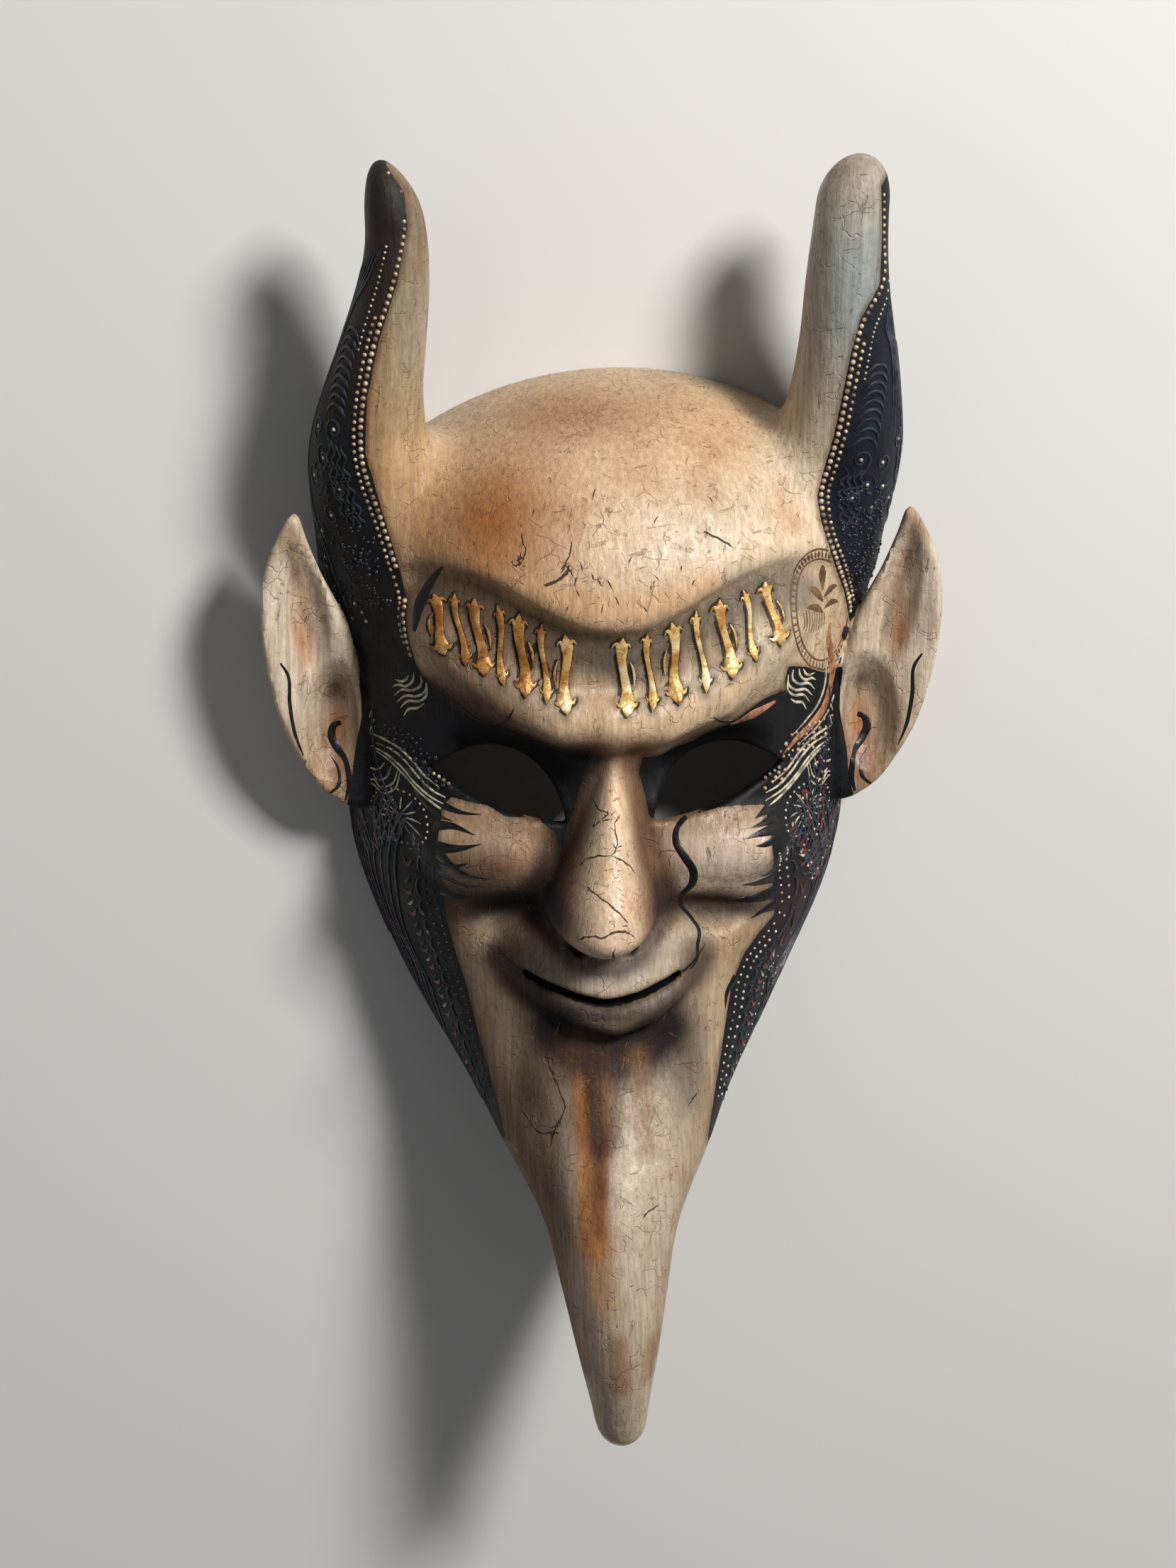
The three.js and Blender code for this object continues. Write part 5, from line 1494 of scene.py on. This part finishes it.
# Between an eye and its ear: how far out from the middle, and y
WAVES = [
    [(63.5, 59.5), (63.2, 56.6), (66.2, 53.6), (69.5, 53.1), (72.6, 49.9)],
    [(65.8, 60.1), (66, 57.4), (68.6, 54.5), (71.1, 54.5), (72.9, 53.2)],
    [(61.7, 58.1), (61.7, 54.7), (65, 51.7), (68.3, 51.2), (71.7, 47.9)],
    [(61.3, 55.6), (61.7, 52.5), (64.3, 50), (67.6, 49.4), (70.6, 46)],
    [(67.5, 58.9), (68.2, 57.2), (69.7, 56), (72.3, 56)],
    [(62.4, 49.6), (64.8, 47.4), (67.4, 46.6), (69.4, 43.4)],
]
SWEEPS = [
    [(78.9, 30.5), (73.1, 29.8), (68.6, 26.6), (64.3, 21.8), (59.3, 17.7), (54.7, 16)],
    [(80.8, 28.7), (75.5, 27.7), (70.8, 24.8), (66.4, 20.1), (60.9, 15.8), (54.6, 13.4)],
    [(79, 27.4), (74.6, 25.8), (69.6, 21.8), (64.1, 16.5), (58.6, 12.8), (55.5, 11.6)],
    [(81.4, 33.2), (76.4, 33), (71.4, 31.4), (66.6, 27.6), (62.4, 22.9), (57.6, 19.6)],
]
ZIGZAGS = [
    [(71.7, 22.6), (73.7, 17), (78.2, 14.8), (79.6, 16.5), (83.1, 14.4), (85.2, 17.1)],
    [(73.8, 23.8), (76, 18.4), (78.6, 16.9), (80.4, 18.5)],
    [(70.9, 22.1), (72.9, 15.4), (76.9, 12.7), (80.5, 14.6), (83.5, 12.9)],
    [(76.2, 24), (78.4, 20.8), (81.4, 20.4), (84.3, 21.8)],
]
EAR_LOOPS = [
    [(80.2, 42), (81.7, 36.5), (82.5, 31.9), (84.1, 29.3), (85.7, 29.4), (85.7, 33.6)],
    [(81.6, 41.6), (83, 36.8), (83.8, 33.4)],
    [(79.4, 39), (80.8, 34.4), (82.4, 27.2), (84.6, 25.4)],
]
BURST = (71.5, 6)
BEAD_DRIFT = [(56.6, 22.6), (60.8, 25.6), (64.4, 29.6), (69, 33), (75.6, 35)]
EYE_RIM = [(54.5, 21.6), (57.4, 23.4), (60.4, 24.8)]
SMALL_PEARLS = [(82.8, 49.6), (82.6, 46), (82.2, 43.1), (83.6, 52.6), (86.2, 75), (82.9, 78.2), (85.4, 81),
                (81.6, 75.1)]
TEMPLE_DOTS = [(80.7, 103.7), (88.6, 91.7), (90.5, 80)]


def eye_corner_ornament(trim, side, glint):
    """Sweeping lines, waves, a burst and strewn beads between an eye and its ear."""

    def front(places, widths, kind):
        line, w = on_front([(side * a, b) for a, b in places], widths, 0.9)
        far = (dark_paint(*line.T) > 0.3) & (eye_gap(line) > 1.0)
        if far.sum() > 4:
            trim.strokes[kind].append((line[far], w[far]))

    for lines, half in ((WAVES, 0.55), (SWEEPS, 0.5), (ZIGZAGS, 0.45), (EAR_LOOPS, 0.4)):
        for line in lines:
            front(line, [0.2] + [half] * (len(line) - 2) + [0.15], "pale")
    cx, cy = BURST
    for k in range(26):
        a = 2 * math.pi * k / 26
        near, out = (2.6, 6.4 + 2.2 * math.sin(2.6 * k) ** 2) if k % 2 else (2.2, 4.6)
        c, s = math.cos(a), math.sin(a)
        ray = [(cx + near * c, cy + near * s), (cx + (near + out) / 2 * c, cy + (near + out) / 2 * s),
               (cx + out * c, cy + out * s)]
        front(ray, [0.2, 0.42, 0.1], "pale" if k % 2 else "red")
    front([(cx - 1.6, cy + 1.4), (cx, cy), (cx + 1.4, cy - 1.8)], [0.3, 1.3, 0.2], "red")
    a = np.arange(0, 6.28, 0.22)
    places = drop(np.column_stack([side * (cx + 9.6 * np.cos(a)), cy + 9.6 * np.sin(a)]))
    trim.beads("pearl", places[dark_paint(*places.T) > 0.5], 0.5)
    trim.front_beads(glint, [(side * a, b) for a, b in BEAD_DRIFT], 1.9, 110, (0.5, 1.0))
    rim, _ = smooth_line([(side * a, b) for a, b in EYE_RIM])
    trim.beads("bronze", drop(rim[::2, :2]), 0.7)
    trim.front_beads("ink", [(side * a, b) for a, b in TEMPLE_DOTS], 4.0, 60, (0.35, 0.75))
    places = drop([(side * a, b) for a, b in SMALL_PEARLS])
    trim.beads("pearl", places[dark_paint(*places.T) > 0.4], 0.7)


# A roundel on the right temple, a ring of ticks about a seed and leaves, and a strip from it to the eye:
# the roundel's middle, and its half sizes across and up
ROUNDEL = (74.3, 78.5), (12.9, -3.2), (-1.5, 22.6)
STRIP = [(77.9, 73), (77.7, 66.7), (79.3, 60.7), (80.4, 54.2), (79.3, 46.5), (77, 41.3), (72.3, 37.2),
         (65.8, 33.3), (60.8, 29)]
STRIP_WIDTHS = [0.8, 2.0, 2.5, 3.0, 3.0, 2.7, 2.2, 1.4, 0.2]
STRIP_EDGES = [
    ([(75.2, 66), (76.6, 59), (77.3, 53.4), (76.4, 47.8), (74.2, 43.6), (69.8, 39.6), (64.6, 35.4)],
     [0.15, 0.4, 0.5, 0.5, 0.45, 0.4, 0.12]),
    ([(80.4, 65.4), (82.2, 59.8), (83.3, 53.4), (82, 45.6), (79.2, 39.6), (73.9, 35.1), (67, 31.4)],
     [0.15, 0.4, 0.5, 0.5, 0.45, 0.4, 0.12]),
]
SLATE_PATCHES = [([(84.3, 69.6), (84.8, 67), (84.6, 64.2)], [0.6, 3.0, 0.6]),
                 ([(83.9, 58.4), (83.7, 56.6), (83.3, 54.9)], [0.8, 2.2, 0.8])]
TAN_STROKES = [(STRIP, STRIP_WIDTHS), ([(41.5, 42.4), (48.4, 45.6), (57, 49.3)], [0.6, 2.3, 0.6]),
               ([(84.4, 62.9), (84.4, 61.3), (84, 59.8)], [0.8, 2.2, 0.8])]
# in shares of the roundel: where a leaf starts and ends, and its half width in millimetres
LEAVES = [((0.0, -0.02), (-0.52, 0.06), 1.7), ((0.04, 0.04), (0.50, 0.14), 1.7),
          ((0.0, 0.16), (-0.44, 0.36), 1.9), ((0.04, 0.22), (0.46, 0.42), 1.8),
          ((0.0, 0.34), (0.02, 0.74), 2.0)]
SEED = (-0.30, -0.14), (0.42, 0.20)    # a ribbed seed under the leaves: its middle and its half sizes


def roundel_place(a, b):
    """A place in shares of the roundel's half sizes."""
    (cx, cy), (ax, ay), (bx, by) = ROUNDEL
    return cx + a * ax + b * bx, cy + a * ay + b * by


def on_roundel(places, widths, step=0.8):
    """A stroke of the roundel, where it lies on the cream."""
    line, w = on_front([roundel_place(a, b) for a, b in places], widths, step)
    keep = dark_paint(*line.T) < -0.5
    return [(line[keep], w[keep])] if keep.sum() > 3 else []


def roundel_strokes():
    """Two rings with ticks between them, leaves and a ribbed seed."""
    lines = []
    for radius in (1.0, 0.84):
        for k in range(8):
            turn = np.linspace(k, k + 1, 7) * math.pi / 4
            lines += on_roundel([(radius * math.cos(a), radius * math.sin(a)) for a in turn], [0.45] * 7)
    for k in range(56):
        a = 2 * math.pi * k / 56
        c, s = math.cos(a), math.sin(a)
        lines += on_roundel([(0.87 * c, 0.87 * s), (0.92 * c, 0.92 * s), (0.97 * c, 0.97 * s)],
                            [0.25, 0.5 if k % 3 else 0.8, 0.25], 0.35)
    for (a0, b0), (a1, b1), half in LEAVES:
        way = [(a0 + (a1 - a0) * s, b0 + (b1 - b0) * s + 0.05 * math.sin(math.pi * s))
               for s in (0, 0.25, 0.5, 0.8, 1)]
        lines += on_roundel(way, [0.25, half * 0.8, half, half * 0.6, 0.15], 0.6)
    (ca, cb), (ha, hb) = SEED
    for k in range(-4, 5):
        reach = hb * math.sqrt(1.0 - (k / 5.0) ** 2)
        at = ca + ha * k / 5.0
        lines += on_roundel([(at, cb - reach), (at + 0.02, cb), (at, cb + reach)], [0.15, 0.34, 0.15], 0.6)
    return lines


BLACK_HEIGHT, GOLD_HEIGHT, TAN_HEIGHT, ROUNDEL_HEIGHT = 0.16, 0.9, 0.22, 0.13
# kind, height of its strokes, and its paint: name, colour, worn colour, roughness
STROKE_PAINTS = [
    ("slate", 0.8, "slate_gloss", (42, 51, 62), (14, 18, 26), 0.36),
    ("pale", 0.5, "pale_line", (208, 198, 172), (128, 122, 110), 0.36),
    ("red", 0.35, "dark_red", (92, 18, 26), (44, 8, 14), 0.28),
]
# kind of bead and its paint, with how metallic it is
BEAD_PAINTS = [
    ("bronze", "bronze_bead", (204, 178, 146), (100, 80, 60), 0.28, 0.2),
    ("pearl", "pearl_bead", (206, 198, 178), (116, 108, 96), 0.30),
    ("ink", "ink_bead", (44, 48, 58), (18, 19, 24), 0.20),
]


def ornament():
    """All raised ornament but the black and gold strokes."""
    trim = Trim()
    for edge, side in ((RIGHT_EDGE, -1), (LEFT_EDGE, 1)):
        horn_ornament(trim, Chart(edge, HORN_REACH, side))
    for edge, side, glint in ((RIGHT_CHEEK, -1, "pearl"), (LEFT_CHEEK, 1, "ink")):
        cheek_ornament(trim, Chart(edge, CHEEK_REACH, side), glint)
    for side, glint in ((1, "bronze"), (-1, "ink")):
        eye_corner_ornament(trim, side, glint)
    trim.strokes["pale"] += [on_front(*line) for line in STRIP_EDGES]
    trim.strokes["slate"] += [on_front(*line) for line in SLATE_PATCHES]
    for kind, height, *look in STROKE_PAINTS:
        raised_strokes(kind + "_strokes", trim.strokes[kind], height, plain_paint(*look))
    raised_strokes("tan_strokes", [on_front(*line) for line in TAN_STROKES], TAN_HEIGHT,
                   plain_paint("tan_paint", (172, 122, 88), (118, 76, 50), 0.42))
    raised_strokes("roundel", roundel_strokes(), ROUNDEL_HEIGHT,
                   plain_paint("umber_paint", (84, 60, 38), (116, 86, 56), 0.42))
    for kind, *look in BEAD_PAINTS:
        places, radii = zip(*trim.drops[kind])
        beads(kind + "_beads", places, radii, plain_paint(*look))


shell = make_shell()
paint_attributes(shell)
shell.data.materials.append(shell_paint())
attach(shell, "root")
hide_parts(SHELL)

black = plain_paint("black_line", (4, 4, 5), (10, 9, 10), 0.34)
raised_strokes("black_brushwork", black_strokes(), BLACK_HEIGHT, black, filled)
raised_strokes("gold_strokes", GOLD, GOLD_HEIGHT, gilt())
ornament()


# Floor and light, in metres
FLOOR_HALF, FLOOR_GAP = 1.6, 0.0005
LIT = Vector((0.0, 0.02, 0.05))     # what the lights face
# name, place, power, size, colour
LIGHTS = [
    ("key", (0.88, 1.02, 1.22), 43.0, 0.42, (1.0, 0.98, 0.962)),
    ("fill", (-0.9, -0.1, 0.9), 0.9, 1.0, (0.95, 0.97, 1.0)),
]
SKY, SKY_POWER = (0.80, 0.82, 0.85, 1.0), 0.15


def floor():
    """A pale floor just under the rim."""
    mesh = bpy.data.meshes.new("floor")
    square = [(a * FLOOR_HALF, b * FLOOR_HALF, 0) for a, b in ((-1, -1), (1, -1), (1, 1), (-1, 1))]
    mesh.from_pydata(square, [], [(0, 1, 2, 3)])
    obj = bpy.data.objects.new("floor", mesh)
    obj.location.z = -FLOOR_GAP
    bpy.context.scene.collection.objects.link(obj)
    m = Maker("pale_floor")
    m.set("Base Color", m.mix(m.noise(3.0, 2.0), rgba(206, 204, 200), rgba(212, 210, 207)))
    m.set("Roughness", 0.85)
    mesh.materials.append(m.material)


def area_light(name, place, power, size, colour):
    """A square light that faces the mask."""
    data = bpy.data.lights.new(name, "AREA")
    data.energy = power
    data.size = size
    data.color = colour
    obj = bpy.data.objects.new(name, data)
    obj.location = place
    way = LIT - Vector(place)
    obj.rotation_mode = "QUATERNION"
    obj.rotation_quaternion = way.to_track_quat("-Z", "Y")
    bpy.context.scene.collection.objects.link(obj)


floor()
for light in LIGHTS:
    area_light(*light)
world = bpy.data.worlds.new("studio")
world.use_nodes = True
world.node_tree.nodes["Background"].inputs["Color"].default_value = SKY
world.node_tree.nodes["Background"].inputs["Strength"].default_value = SKY_POWER
bpy.context.scene.world = world
bpy.context.scene.view_settings.view_transform = "Standard"
